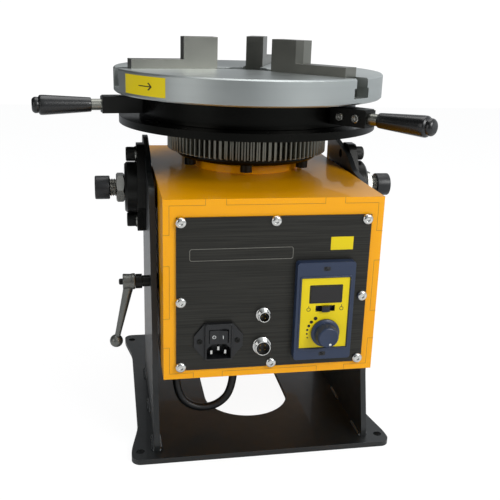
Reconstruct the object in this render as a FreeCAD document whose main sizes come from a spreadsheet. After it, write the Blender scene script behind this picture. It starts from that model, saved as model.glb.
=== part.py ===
"""A bench welding positioner: a geared head with a three-jaw chuck that tilts between two uprights.

Frame: the origin is the centre of the base's bolt pattern on the base's underside. +X is to the
right of someone facing the control panel, +Y runs to the back and +Z is up. Lengths are millimetres.
"""
import FreeCAD, Part
import math
import os
import re
import Sketcher

V = FreeCAD.Vector

SIZES = {
    # base plate
    "base_length": 318, "base_ear_margin": 24, "base_waist_margin": 15.7, "base_thickness": 6,
    "ear_length": 19, "ear_flare": 44, "base_corner": 10, "ear_blend": 90,
    "base_hole_margin": 14.5, "base_hole_y": 286, "base_hole": 9,
    "base_slot_width": 100, "base_slot_length": 170,
    # uprights, as distances from the middle and heights above the floor
    "head_gap": 3, "upright_thickness": 6,
    "foot_front": 146, "foot_toe": 15, "shin_front": 128, "shin_low": 80, "shin_high": 130,
    "shoulder_front": 95, "shoulder_top": 283, "saddle_front": 50, "saddle_top": 289.5,
    "crest_front": 27, "crest_low": 303, "crest_back": 28, "upright_top": 315, "upright_back": 51.5,
    "toe_blend": 18, "shin_blend": 60, "lean_blend": 90, "shoulder_round": 14, "crest_blend": 24,
    "back_round": 10,
    # trunnions: the tilt axis and what sits on it
    "tilt_behind": -3.5, "tilt_height": 262.5, "hub_flange": 9, "hub_end_round": 12,
    "hub_screw_spacing": 76, "hub_waist": 62, "hub_diameter": 57.8, "hub_reach": 13.5, "hub_rounding": 2.5,
    "stud_diameter": 20, "stud_proud": 27.5, "stud_chamfer": 1.5, "bush_wall": 4, "spigot_diameter": 40,
    "nut_width": 30, "nut_thickness": 9.2, "knob_diameter": 26.5, "knob_gap": 16.5, "knob_length": 16.6,
    "knob_rounding": 3, "knob_edge": 1, "boss_diameter": 36, "boss_length": 20, "boss_chamfer": 3,
    "thrust_diameter": 48, "m10_head": 16, "m10_head_height": 10, "m10": 10, "m10_socket": 8,
    "m10_washer": 17.6, "m10_washer_thickness": 1.6, "screw_end_gap": 0.5,
    # tilt clamp on the left upright
    "clamp_front": 95, "clamp_height": 182, "clamp_sleeve": 12, "clamp_sleeve_length": 8,
    "clamp_stud": 8, "clamp_insert_length": 7, "insert_step": 0.8,
    "lever_hub": 17, "lever_hub_length": 13, "lever_edge": 1.5, "lever_screw": 6.5,
    "lever_screw_proud": 4, "screw_chamfer": 1, "lever_reach": 62.5, "lever_splay": 13,
    "lever_root": 10, "lever_inset": 1, "lever_overlap": 3, "lever_tip": 6, "lever_seat": 2, "seat_play": 0.15,
    "ball_diameter": 14, "clamp_pad": 16, "clamp_pad_thickness": 1.2,
    # head box, cut from plate with finger joints
    "head_width": 218, "head_height": 186, "head_top": 287, "head_front": 165, "head_length": 297,
    "plate": 6,
    "top_tab_offset": 58.6, "top_tab_width": 20, "bottom_tab_offset": 64.3, "bottom_tab_width": 29.5,
    "side_tab_offset": 42.8, "side_tab_width": 31,
    "cutout_fit": 1, "through_hole": 50,
    # spindle, housing and bearings
    "spindle_behind": 5, "spindle_diameter": 60, "spindle_bore": 40, "spindle_low": 188,
    "housing_diameter": 112, "housing_bottom": 206, "housing_proud": 10, "housing_collar": 120,
    "bearing_diameter": 95, "bearing_width": 23, "lower_bearing": 208, "upper_bearing": 271,
    "bearing_lip": 5, "race_low": 36, "race_high": 40, "race_gap": 0.06,
    "collar_diameter": 76, "cover_diameter": 104, "cover_rim": 2, "cover_gap": 0.4,
    "locknut_diameter": 84, "locknut_thickness": 12, "locknut_slot": 8, "locknut_slots": 4,
    # table drive
    "gear_module": 2, "gear_teeth": 89, "pinion_teeth": 20, "gear_bottom": 307, "gear_face": 29,
    "backlash": 0.3, "pinion_face": 25, "clamp_ring_diameter": 164,
    "clamp_ring_thickness": 7, "clamp_ring_chamfer": 3, "gear_screw_circle": 144, "m8": 8,
    "m8_head": 13, "m8_head_height": 8, "drive_screws": 6, "chuck_screw_circle": 86,
    "chuck_screw_depth": 12, "screw_clearance": 0.5, "blind_web": 1, "counterbore_web": 3,
    "head_sink": 0.5,
    "motor_wall_gap": 13, "motor_frame": 60, "gearhead_length": 42, "motor_length": 72,
    "motor_corner": 6, "shaft_offset": 10,
    "motor_shaft": 12, "shaft_boss": 24, "shaft_boss_height": 5, "shaft_hole": 26,
    "shaft_end_gap": 0.5, "fin_start": 10, "fin_depth": 2, "fin_width": 4, "fin_pitch": 9, "fins": 6,
    # chuck
    "flange_diameter": 290, "flange_thickness": 8, "ring_diameter": 245, "ring_height": 25,
    "chuck_diameter": 300, "chuck_thickness": 26, "chuck_edge": 1.5, "chuck_hub": 108, "chuck_bore": 42,
    "ring_gap": 0.3,
    "ring_fit": 0.08,
    "scroll_pitch": 10, "scroll_rib": 4, "scroll_depth": 3.6, "scroll_inner": 59, "scroll_outer": 119,
    "scroll_arcs": 6, "tee_width": 26, "tee_height": 9.6, "slot_floor": 6, "jaw_fit": 0.3,
    "jaw_count": 3, "jaw_angle": -50, "jaw_inner": 40, "jaw_outer": 135, "jaw_width": 20,
    "jaw_bar": 9.6, "jaw_block": 38, "jaw_height": 33.5, "jaw_chamfer": 6,
    "tooth_width": 4, "jaw_teeth": 3, "tooth_inner": 78, "rack_width": 14, "tooth_depth": 3,
    "jaw_travel_in": 20, "jaw_travel_out": 10, "window_margin": 2,
    # handles on the scroll ring
    "handle_angle": -52, "lug_end": 165, "lug_width": 18, "lug_height": 17,
    "lug_overlap": 4, "link_depth": 15, "grip_depth": 12, "link_end": 176, "link_width": 12,
    "grip_end": 237, "grip_root": 15, "grip_tip": 21, "grip_bead": 17, "bead_length": 7,
    "grip_edge": 2, "bead_edge": 1, "bead_rounding": 2.5,
    # control panel and what is on it, measured from the top of the head and the middle
    "panel_margin": 12.5, "panel_thickness": 2, "panel_drop": 17.3, "panel_height": 158.6,
    "panel_screw_inset": 17, "panel_screw_top": 22, "panel_screw_mid": 102.5, "panel_screw_low": 172,
    "panel_screw_head": 11, "panel_screw_height": 3.3, "m6": 6,
    "inlet_inset": 54.4, "inlet_drop": 144.2, "inlet_width": 27.4, "inlet_height": 38.5, "inlet_ears": 49,
    "ear_height": 12, "inlet_flange": 2.5, "inlet_proud": 5, "inlet_depth": 28,
    "rocker_width": 19.6, "rocker_height": 14.6, "rocker_drop": 138.4, "rocker_depth": 13,
    "rocker_fit": 0.3, "rocker_tilt": 8, "rocker_swell": 2.4, "rocker_axle": 3, "rocker_sink": 1.5,
    "rocker_body": 6, "rocker_end_gap": 0.6,
    "socket_width": 24, "socket_height": 15.5, "socket_drop": 154.4, "socket_corner": 5,
    "inlet_socket_depth": 16, "pin_width": 2, "pin_height": 4, "pin_spacing": 14, "pin_step": 4,
    "small_plug_x": -9.7, "small_plug_drop": 118.6, "small_plug": 15, "small_plug_thread": 12,
    "large_plug_x": -10, "large_plug_drop": 152.5, "large_plug": 19, "large_plug_thread": 16,
    "plug_flange": 2, "plug_proud": 8, "plug_depth": 12, "plug_wall": 1.2,
    "bezel_inset": 57.9, "bezel_drop": 114.9, "bezel_width": 59.4, "bezel_height": 104, "bezel_proud": 9,
    "bezel_corner": 3, "bezel_recess": 1.6, "controller_width": 51, "controller_height": 92,
    "controller_depth": 42, "face_width": 49.6, "face_height": 75.2, "face_drop": 116.6,
    "face_thickness": 1, "display_shift": 0.7, "display_drop": 96.2, "display_width": 31.4,
    "display_height": 16.6, "display_proud": 0.8, "face_gap": 0.2, "switch_shift": 0.7,
    "switch_drop": 111.6, "switch_height": 6.4, "switch_knob": 8, "switch_proud": 4,
    "switch_travel": 4.5, "switch_margin": 1.5, "switch_depth": 5, "switch_root": 4,
    "dial_shift": 1.7, "dial_drop": 137.5, "dial_diameter": 29.5, "dial_length": 15, "dial_skirt": 3,
    "dial_taper": 3, "dial_edge": 1, "dial_shaft": 6, "dial_root": 4.5,
    # cable loop under the head
    "gland_length": 25, "gland_thread": 16, "gland_hex": 20, "gland_dome": 18, "gland_inside": 8,
    "gland_nose": 3, "gland_slope": 4, "cable_diameter": 9, "gland_y": -88, "gland_wall_gap": 13,
    "gland_spacing": 65.6,
    # play between parts that turn or slide past each other
    "running": 0.05, "side_play": 0.3, "washer_play": 0.1,
}

doc = FreeCAD.newDocument("welding_positioner")
sheet = doc.addObject("Spreadsheet::Sheet", "dim")
for row, (size_name, size_value) in enumerate(SIZES.items(), 1):
    sheet.set(f"A{row}", size_name)
    sheet.set(f"B{row}", str(size_value))
    sheet.setAlias(f"B{row}", size_name)
doc.recompute()
NAMES = re.compile(r"\b(" + "|".join(sorted(SIZES, key=len, reverse=True)) + r")\b")
nodes = []


def worth(formula):
    """The number that a formula of size names has now."""
    return float(sheet.evalExpression(str(formula)))


def bind(thing, place, formula):
    """Tie one property of an object to a formula of size names."""
    thing.setExpression(place, NAMES.sub(r"dim.\1", str(formula)))


# Heights and depths that several pieces share.
HALF_GAP = "(head_width / 2 + head_gap)"
OUTER = "(head_width / 2 + head_gap + upright_thickness)"
HUB_END = "(head_width / 2 + head_gap + upright_thickness + hub_flange + hub_reach)"
STUD_END = f"({HUB_END[1:-1]} + stud_proud)"
KNOB_START = f"({HUB_END[1:-1]} + knob_gap)"
SIDE_IN = "(head_width / 2 - plate)"
HEAD_BACK = "(head_length - head_front)"
HEAD_LOW = "(head_top - head_height)"
HEAD_MIDDLE = "(head_top - head_height / 2)"
GEAR_TOP = "(gear_bottom + gear_face)"
FLANGE_TOP = "(gear_bottom + gear_face + flange_thickness)"
RING_LOW = "(gear_bottom + gear_face + flange_thickness + ring_gap)"
RING_TOP = "(gear_bottom + gear_face + flange_thickness + ring_gap + ring_height)"
CHUCK_LOW = "(gear_bottom + gear_face + flange_thickness + 2 * ring_gap + ring_height)"
CHUCK_TOP = f"({CHUCK_LOW[1:-1]} + chuck_thickness)"
PANEL_BACK = "(-head_front)"
PANEL_FACE = "(-head_front - panel_thickness)"
GEAR_PITCH = "(gear_module * gear_teeth / 2)"
PINION_PITCH = "(gear_module * pinion_teeth / 2)"
PINION_SIDE = "(head_width / 2 - plate - motor_wall_gap - motor_frame / 2)"
PINION_BACK = (f"(spindle_behind + sqrt(pow({GEAR_PITCH} + {PINION_PITCH}; 2)"
               f" - pow({PINION_SIDE}; 2)))")
INLET_X = "(inlet_inset - head_width / 2)"
BEZEL_X = "(head_width / 2 - bezel_inset)"
GLAND_LEFT = "(plate + gland_wall_gap - head_width / 2)"
GLAND_RIGHT = "(plate + gland_wall_gap - head_width / 2 + gland_spacing)"


def up(drop):
    """The height of something that lies a given drop below the top of the head."""
    return f"(head_top - ({drop}))"


# ---------------------------------------------------------------- construction helpers

def keep(thing, name):
    """Give a finished sub-part its name and list it for export."""
    thing.Label = name
    nodes.append(thing)
    return thing


def plane_of(body, role):
    return next(f for f in body.Origin.OriginFeatures if f.Role == role + "_Plane")


def new_sketch(body, role, offset):
    sketch = body.newObject("Sketcher::SketchObject", "sketch")
    sketch.AttachmentSupport = [(plane_of(body, role), "")]
    sketch.MapMode = "FlatFace"
    bind(sketch, "AttachmentOffset.Base.z", offset)
    return sketch


def tie_point(sketch, piece, end, x, y):
    for kind, formula in (("DistanceX", x), ("DistanceY", y)):
        number = sketch.addConstraint(Sketcher.Constraint(kind, piece, end, worth(formula)))
        bind(sketch, f"Constraints[{number}]", formula)


def draw_polygon(sketch, corners):
    """A closed loop of lines with both coordinates of every corner bound to the sheet."""
    first = sketch.GeometryCount
    spots = [V(worth(x), worth(y), 0) for x, y in corners]
    count = len(spots)
    for i in range(count):
        sketch.addGeometry(Part.LineSegment(spots[i], spots[(i + 1) % count]), False)
    for i in range(count):
        following = first + (i + 1) % count
        sketch.addConstraint(Sketcher.Constraint("Coincident", first + i, 2, following, 1))
    for i, (x, y) in enumerate(corners):
        tie_point(sketch, first + i, 1, x, y)


def draw_circle(sketch, x, y, radius):
    ring = sketch.addGeometry(Part.Circle(V(worth(x), worth(y), 0), V(0, 0, 1), worth(radius)), False)
    tie_point(sketch, ring, 3, x, y)
    number = sketch.addConstraint(Sketcher.Constraint("Radius", ring, worth(radius)))
    bind(sketch, f"Constraints[{number}]", radius)


def draw_obround(sketch, x, y, radius, half_run):
    """A slot along the sketch's Y: two half circles joined by two tangent lines."""
    cx, cy, r, run = worth(x), worth(y), worth(radius), worth(half_run)
    top = Part.ArcOfCircle(Part.Circle(V(cx, cy + run, 0), V(0, 0, 1), r), 0, math.pi)
    low = Part.ArcOfCircle(Part.Circle(V(cx, cy - run, 0), V(0, 0, 1), r), math.pi, 2 * math.pi)
    left = Part.LineSegment(V(cx - r, cy + run, 0), V(cx - r, cy - run, 0))
    right = Part.LineSegment(V(cx + r, cy - run, 0), V(cx + r, cy + run, 0))
    a, b, c, d = [sketch.addGeometry(g, False) for g in (top, left, low, right)]
    for one, other in ((a, b), (b, c), (c, d), (d, a)):
        sketch.addConstraint(Sketcher.Constraint("Tangent", one, 2, other, 1))
    tie_point(sketch, a, 3, x, f"{y} + {half_run}")
    tie_point(sketch, c, 3, x, f"{y} - ({half_run})")
    number = sketch.addConstraint(Sketcher.Constraint("Radius", a, r))
    bind(sketch, f"Constraints[{number}]", radius)


def fill(sketch, loops):
    for kind, *numbers in loops:
        {"polygon": draw_polygon, "circle": draw_circle, "obround": draw_obround}[kind](sketch, *numbers)


def extrude(body, kind, role, low, high, loops):
    """Pad or pocket loops between two positions along a plane's axis; holes are inner loops.

    The XZ plane's normal is -Y, so there the sketch starts at the high end and runs down.
    """
    flipped = role == "XZ"
    start = f"-({high})" if flipped else low
    if kind == "Pocket":
        start = f"-({low})" if flipped else high
    sketch = new_sketch(body, role, start)
    fill(sketch, loops)
    feature = body.newObject("PartDesign::" + kind, kind.lower())
    feature.Profile = sketch
    bind(feature, "Length", f"({high}) - ({low})")
    feature.Refine = True
    body.Tip = feature
    return feature


def pad(body, role, low, high, *loops):
    return extrude(body, "Pad", role, low, high, loops)


def pocket(body, role, low, high, *loops):
    before = volume_of(body)
    feature = extrude(body, "Pocket", role, low, high, loops)
    if not volume_of(body) < before:
        raise ValueError(f"{body.Label}: a pocket cuts nothing")
    return feature


def volume_of(body):
    doc.recompute()
    return body.Shape.Volume


def rectangle(x, y, width, height):
    """Corners of a rectangle about a middle point, all as formulas."""
    left, right = f"{x} - ({width}) / 2", f"{x} + ({width}) / 2"
    low, high = f"{y} - ({height}) / 2", f"{y} + ({height}) / 2"
    return ("polygon", [(left, low), (right, low), (right, high), (left, high)])


def spin(body, corners):
    """Revolve a closed (radius, height) profile once about the body's own Z axis."""
    sketch = new_sketch(body, "XZ", "0")
    draw_polygon(sketch, corners)
    turn = body.newObject("PartDesign::Revolution", "turned")
    turn.Profile = sketch
    turn.ReferenceAxis = (sketch, ["V_Axis"])
    turn.Angle = 360
    body.Tip = turn
    return turn


def polar(body, feature, count):
    """Repeat a feature about the body's own Z axis."""
    pattern = body.newObject("PartDesign::PolarPattern", "around")
    pattern.Originals = [feature]
    pattern.Axis = (next(f for f in body.Origin.OriginFeatures if f.Role == "Z_Axis"), [""])
    pattern.Angle = 360
    bind(pattern, "Occurrences", count)
    body.Tip = pattern
    return pattern


def round_edges(body, kind, size, wanted):
    """Fillet or chamfer the tip's edges that the test picks, by the edge's middle and direction."""
    doc.recompute()
    tip = body.Tip
    picked = []
    for number, edge in enumerate(tip.Shape.Edges, 1):
        middle = edge.valueAt((edge.FirstParameter + edge.LastParameter) / 2)
        if wanted(edge, middle):
            picked.append(f"Edge{number}")
    if not picked:
        raise ValueError(f"{body.Label}: no edge to round")
    feature = body.newObject("PartDesign::" + kind, kind.lower())
    feature.Base = (tip, picked)
    bind(feature, "Radius" if kind == "Fillet" else "Size", size)
    body.Tip = feature
    return feature


def along(axis):
    """A test for straight edges along one axis: 0, 1 or 2 for X, Y or Z."""
    def test(edge, middle):
        ends = [v.Point for v in edge.Vertexes]
        if len(ends) != 2 or not isinstance(edge.Curve, (Part.Line, Part.LineSegment)):
            return False
        step = ends[1] - ends[0]
        return abs(abs(step[axis]) - step.Length) < 1e-6
    return test


def corner_at(axis, *spots):
    """A test for straight edges along an axis that pass one of the given (a, b) formula pairs."""
    straight = along(axis)
    kept = [i for i in range(3) if i != axis]
    places = [(worth(a), worth(b)) for a, b in spots]

    def test(edge, middle):
        here = (middle[kept[0]], middle[kept[1]])
        return straight(edge, middle) and any(math.dist(here, place) < 0.02 for place in places)
    return test


def body_named(name):
    body = doc.addObject("PartDesign::Body", name)
    return keep(body, name)


def group(name, members):
    """One node that holds several separate solids of the same kind."""
    for member in members:
        nodes.remove(member)
    compound = doc.addObject("Part::Compound", name)
    compound.Links = members
    return keep(compound, name)


def put(thing, x="0", y="0", z="0", turn=None):
    """Place a sub-part: a rotation, then a position whose coordinates are bound to the sheet."""
    thing.Placement = FreeCAD.Placement(V(), turn or FreeCAD.Rotation())
    for letter, formula in zip("xyz", (x, y, z)):
        bind(thing, "Placement.Base." + letter, formula)
    return thing


def outward(side):
    """The rotation that turns +Z to +X on the right (side 1) or to -X on the left (side -1)."""
    return FreeCAD.Rotation(V(0, 1, 0), 90 * side)


def forward():
    """The rotation that turns +Z to -Y and leaves +X alone, with +Y turned up."""
    return FreeCAD.Rotation(V(1, 0, 0), 90)


def about_z(angle):
    return FreeCAD.Rotation(V(0, 0, 1), angle)


def made(name, shape):
    """A sub-part whose shape comes from Part's own functions."""
    feature = doc.addObject("Part::Feature", name)
    feature.Shape = shape
    return keep(feature, name)


def socket_screw(head, head_height, shank, length, socket):
    """A cap screw that points down -Z with the underside of its head at 0, as one solid."""
    body = Part.makeCylinder(head / 2, head_height)
    body = body.fuse(Part.makeCylinder(shank / 2, length, V(0, 0, -length)))
    key = [V(socket / 2 / math.cos(math.pi / 6), 0, 0)]
    for i in range(1, 7):
        key.append(about_z(60 * i).multVec(key[0]))
    hexagon = Part.Face(Part.makePolygon(key)).extrude(V(0, 0, head_height))
    hexagon.translate(V(0, 0, head_height * 0.45))
    return body.cut(hexagon).removeSplitter()


def baked(shape, turn, shift):
    """A shape turned about the origin and then shifted, with both worked into its geometry."""
    return shape.transformed(FreeCAD.Placement(shift, turn).toMatrix(), True)


def copies(shape, placements):
    """A group of separate solids: one copy of a shape at each placement."""
    group = []
    for placement in placements:
        piece = shape.copy()
        piece.Placement = placement.multiply(piece.Placement)
        group.append(piece)
    return Part.Compound(group)


# ---------------------------------------------------------------- base frame

def base_plate():
    """Laser-cut plate with wider ears at both ends and a large obround window."""
    body = body_named("base_plate")
    waist, ear = f"({OUTER} + base_waist_margin)", f"({OUTER} + base_ear_margin)"
    bolt = f"({OUTER} + base_hole_margin)"
    end, ear_start, flare = ("base_length / 2", "(base_length / 2 - ear_length)",
                             "(base_length / 2 - ear_length - ear_flare)")
    corners = []
    for sx, sy in ((1, -1), (1, 1), (-1, 1), (-1, -1)):
        quarter = [(f"{sx} * {ear}", f"{sy} * {end}"), (f"{sx} * {ear}", f"{sy} * {ear_start}"),
                   (f"{sx} * {waist}", f"{sy} * {flare}")]
        corners += quarter if sx * sy < 0 else quarter[::-1]
    holes = [("circle", f"{sx} * {bolt}", f"{sy} * base_hole_y / 2", "base_hole / 2")
             for sx in (-1, 1) for sy in (-1, 1)]
    slot = ("obround", "0", "0", "base_slot_width / 2", "(base_slot_length - base_slot_width) / 2")
    pad(body, "XY", "0", "base_thickness", ("polygon", corners), slot, *holes)
    ends = [(f"{sx} * {ear}", f"{sy} * {end}") for sx in (-1, 1) for sy in (-1, 1)]
    round_edges(body, "Fillet", "base_corner", corner_at(2, *ends))
    bends = [(f"{sx} * {wide}", f"{sy} * {far}") for sx in (-1, 1) for sy in (-1, 1)
             for wide, far in ((ear, ear_start), (waist, flare))]
    round_edges(body, "Fillet", "ear_blend", corner_at(2, *bends))


def upright(name, side):
    """Leaning side plate with a flared foot, pierced for the trunnion and, on the left, the clamp."""
    body = body_named(name)
    inner, outer = HALF_GAP, OUTER
    low, high = (inner, outer) if side > 0 else (f"-{outer}", f"-({inner})")
    corners = [("-foot_front", "base_thickness"), ("upright_back", "base_thickness"),
               ("upright_back", "upright_top"), ("crest_back", "upright_top"),
               ("-crest_front", "crest_low"), ("-saddle_front", "saddle_top"),
               ("-shoulder_front", "shoulder_top"), ("-shin_front", "shin_high"),
               ("-shin_front", "shin_low"), ("-foot_front", "foot_toe")]
    loops = [("polygon", corners), ("circle", "tilt_behind", "tilt_height", "spigot_diameter / 2")]
    for sign in "+-":
        loops.append(("circle", "tilt_behind", f"tilt_height {sign} hub_screw_spacing / 2", "m10 / 2"))
    if side < 0:
        loops.append(("circle", "-clamp_front", "clamp_height", "clamp_stud / 2 + running"))
    pad(body, "YZ", low, high, *loops)
    for size, place in (("toe_blend", corners[9]), ("shin_blend", corners[8]),
                        ("lean_blend", corners[7]), ("shoulder_round", corners[6]),
                        ("crest_blend", corners[5]), ("crest_blend", corners[4]),
                        ("crest_blend", corners[3]), ("back_round", corners[2])):
        round_edges(body, "Fillet", size, corner_at(0, place))


# ---------------------------------------------------------------- trunnions

def on_tilt_axis(thing, side):
    return put(thing, "0", "tilt_behind", "tilt_height", outward(side))


def trunnion_hub(name, side):
    """Oval flange with a turned hub and a spigot that sits in the upright's hole."""
    hub = body_named(name)
    reach, half = "hub_screw_spacing / 2", "hub_waist / 2"
    face, end = OUTER, HUB_END
    base = hub_outline(reach, "hub_end_round", half)
    bore = ("circle", "0", "0", "stud_diameter / 2 + bush_wall")
    holes = [("circle", f"{sign}{reach}", "0", "m10 / 2 + screw_clearance") for sign in ("", "-")]
    pad(hub, "XY", face, f"{face} + hub_flange", ("polygon", base), bore, *holes)
    round_edges(hub, "Fillet", "hub_end_round * 0.9", hub_corners(reach, "hub_end_round"))
    pad(hub, "XY", f"{face} + hub_flange", end, ("circle", "0", "0", "hub_diameter / 2"), bore)
    round_edges(hub, "Chamfer", "hub_rounding", rim_at("hub_diameter / 2", end))
    pad(hub, "XY", f"{HALF_GAP} + washer_play", face,
        ("circle", "0", "0", "spigot_diameter / 2"), bore)
    return on_tilt_axis(hub, side)


def hub_outline(reach, end_round, half_waist):
    """An eight-sided oval: full width at the waist, two end widths at the tips."""
    tip = f"({reach} + {end_round})"
    shoulder = f"({half_waist}) * 0.55"
    return [(f"-{tip}", f"-{end_round}"), (f"-{shoulder}", f"-({half_waist})"),
            (shoulder, f"-({half_waist})"), (tip, f"-{end_round}"), (tip, end_round),
            (shoulder, half_waist), (f"-{shoulder}", half_waist), (f"-{tip}", end_round)]


def hub_corners(reach, end_round):
    tip = f"({reach} + {end_round})"
    spots = [(f"{sx} * {tip}", f"{sy} * {end_round}") for sx in (-1, 1) for sy in (-1, 1)]
    return corner_at(2, *spots)


def rim_at(radius, height):
    """A test for the circular edge of a given radius at a given height on the body's own axis."""
    r, level = worth(radius), worth(height)

    def test(edge, middle):
        return (isinstance(edge.Curve, Part.Circle) and abs(edge.Curve.Radius - r) < 0.01
                and abs(middle.z - level) < 0.01)
    return test


def trunnion_bush(name, side):
    bush = body_named(name)
    inner, outer = "stud_diameter / 2 + running", "stud_diameter / 2 + bush_wall"
    spin(bush, [(inner, f"{HALF_GAP} + washer_play"), (outer, f"{HALF_GAP} + washer_play"),
                (outer, HUB_END), (inner, HUB_END)])
    return on_tilt_axis(bush, side)


def trunnion_stud(name, side):
    """Stud screwed through the welded boss and the side plate, with a chamfered outer end."""
    stud = body_named(name)
    radius, inner_end = "stud_diameter / 2", f"{SIDE_IN} - boss_length"
    spin(stud, [("0", inner_end), (radius, inner_end), (radius, f"{STUD_END} - stud_chamfer"),
                (f"{radius} - stud_chamfer", STUD_END), ("0", STUD_END)])
    return on_tilt_axis(stud, side)


def trunnion_boss(name, side):
    boss = body_named(name)
    start = f"{SIDE_IN} - boss_length"
    bore, wall = "stud_diameter / 2", "boss_diameter / 2"
    spin(boss, [(bore, start), (f"{wall} - boss_chamfer", start), (wall, f"{start} + boss_chamfer"),
                (wall, SIDE_IN), (bore, SIDE_IN)])
    return on_tilt_axis(boss, side)


def thrust_washer(name, side):
    washer = body_named(name)
    inner, outer = "stud_diameter / 2 + washer_play", "thrust_diameter / 2"
    low, high = "head_width / 2", f"{HALF_GAP} - washer_play"
    spin(washer, [(inner, low), (outer, low), (outer, high), (inner, high)])
    return on_tilt_axis(washer, side)


def hexagon(width):
    """Corners of a hexagon given across its flats."""
    corner = f"({width}) / sqrt(3)"
    return [(f"{corner} * cos({60 * i})", f"{corner} * sin({60 * i})") for i in range(6)]


def trunnion_nut(name, side):
    nut = body_named(name)
    start = f"{HUB_END} + side_play"
    bore = ("circle", "0", "0", "stud_diameter / 2")
    pad(nut, "XY", start, f"{start} + nut_thickness", ("polygon", hexagon("nut_width")), bore)
    return on_tilt_axis(nut, side)


def trunnion_knob(name, side):
    """Plain round knob with a blind bore and a rounded outer rim."""
    knob = body_named(name)
    bore, wall, end = "stud_diameter / 2 + running", "knob_diameter / 2", f"{KNOB_START} + knob_length"
    floor, soft = f"{STUD_END} + side_play", "knob_rounding * 0.3"
    spin(knob, [(bore, KNOB_START), (f"{wall} - knob_edge", KNOB_START),
                (wall, f"{KNOB_START} + knob_edge"), (wall, f"{end} - knob_rounding"),
                (f"{wall} - {soft}", f"{end} - {soft}"), (f"{wall} - knob_rounding", end),
                ("0", end), ("0", floor), (bore, floor)])
    return on_tilt_axis(knob, side)


def hub_screws():
    """Four cap screws and their washers hold the two hubs to the uprights."""
    face = worth(f"{OUTER} + hub_flange")
    thick = worth("m10_washer_thickness")
    length = worth("hub_flange + upright_thickness + m10_washer_thickness - screw_end_gap")
    screw = socket_screw(worth("m10_head"), worth("m10_head_height"), worth("m10"), length,
                         worth("m10_socket"))
    ring = Part.makeCylinder(worth("m10_washer") / 2, thick)
    ring = ring.cut(Part.makeCylinder(worth("m10 / 2"), thick))
    half = worth("hub_screw_spacing") / 2
    screw_places, washer_places = [], []
    for side in (-1, 1):
        for offset in (-half, half):
            spot = V(side * (face + thick), worth("tilt_behind"), worth("tilt_height") + offset)
            screw_places.append(FreeCAD.Placement(spot, outward(side)))
            spot = V(side * face, worth("tilt_behind"), worth("tilt_height") + offset)
            washer_places.append(FreeCAD.Placement(spot, outward(side)))
    made("hub_screws", copies(screw, screw_places))
    made("hub_washers", copies(ring, washer_places))


# ---------------------------------------------------------------- tilt clamp

def on_clamp_axis(thing):
    return put(thing, "0", "-clamp_front", "clamp_height", outward(-1))


def clamp_parts():
    """Clamp stud with its pad and toothed collar, the sleeve on the upright, lever, screw and ball."""
    sleeve_end = f"{OUTER} + clamp_sleeve_length"
    insert_end = f"{sleeve_end} + clamp_insert_length"
    hub_end = f"{insert_end} + side_play + lever_hub_length"
    shank = "clamp_stud / 2"

    sleeve = body_named("clamp_sleeve")
    spin(sleeve, [(f"{shank} + running", OUTER), ("clamp_sleeve / 2", OUTER),
                  ("clamp_sleeve / 2", sleeve_end), (f"{shank} + running", sleeve_end)])
    on_clamp_axis(sleeve)

    stud = body_named("clamp_stud")
    pad_face = "head_width / 2 + side_play"
    pad_back = f"{pad_face} + clamp_pad_thickness"
    collar, collar_start = "lever_hub / 2 - insert_step", f"{sleeve_end} + side_play"
    spin(stud, [("0", pad_face), ("clamp_pad / 2", pad_face), ("clamp_pad / 2", pad_back),
                (shank, pad_back), (shank, collar_start), (collar, collar_start),
                (collar, insert_end), ("0", insert_end)])
    on_clamp_axis(stud)

    screw = body_named("lever_screw")
    thin, tip = "lever_screw / 2", f"{hub_end} + lever_screw_proud"
    spin(screw, [("0", insert_end), (thin, insert_end), (thin, f"{tip} - screw_chamfer"),
                 (f"{thin} - screw_chamfer", tip), ("0", tip)])
    on_clamp_axis(screw)
    lever_and_ball(worth(f"{insert_end} + side_play"), worth(hub_end))


def lever_and_ball(low, high):
    """Hub with a round tapered arm splayed outwards, and the ball knob on the arm's tip.

    The pieces' -X points down on the left side, and their +Z points away from the upright.
    """
    hub, bore, edge = worth("lever_hub") / 2, worth("lever_screw / 2 + running"), worth("lever_edge")
    level = high - worth("lever_root / 2 + lever_inset")
    root = V(worth("lever_overlap") - hub, 0, level)
    tip = V(-worth("lever_reach"), 0, level + worth("lever_splay"))
    run = tip - root
    arm = Part.makeCone(worth("lever_root") / 2, worth("lever_tip") / 2, run.Length, root, run)
    profile = [V(0, 0, low), V(hub, 0, low), V(hub, 0, high - edge), V(hub - edge, 0, high),
               V(0, 0, high)]
    lever = Part.Face(Part.makePolygon(profile + profile[:1])).revolve(V(), V(0, 0, 1), 360)
    lever = lever.fuse(arm).cut(Part.makeCylinder(bore, 2 * (high - low), V(0, 0, low - (high - low) / 2)))
    on_clamp_axis(made("clamp_lever", lever.removeSplitter()))

    radius, play = worth("ball_diameter") / 2, worth("seat_play")
    hole, tip_level = worth("lever_tip") / 2 + play, radius - worth("lever_seat")
    low, side, rim = V(0, 0, -radius), V(radius, 0, 0), V(hole, 0, math.sqrt(radius ** 2 - hole ** 2))
    corner, middle = V(hole, 0, tip_level - play), V(0, 0, tip_level - play)
    lines = [Part.makeLine(*ends) for ends in ((rim, corner), (corner, middle), (middle, low))]
    outline = Part.Wire([Part.Arc(low, side, rim).toShape()] + lines)
    ball = Part.Face(outline).revolve(V(), V(0, 0, 1), 360)
    back = (root - tip).normalize()
    ball = baked(ball, FreeCAD.Rotation(V(0, 0, 1), back), tip - back * tip_level)
    on_clamp_axis(made("lever_ball", ball))


# ---------------------------------------------------------------- head box

def steps(middle, offset, wide):
    """Where two tongues or notches start and end along an edge, in rising order."""
    return [f"{middle} {side} {offset} {end} {wide} / 2" for side in "-+" for end in "-+"]


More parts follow.
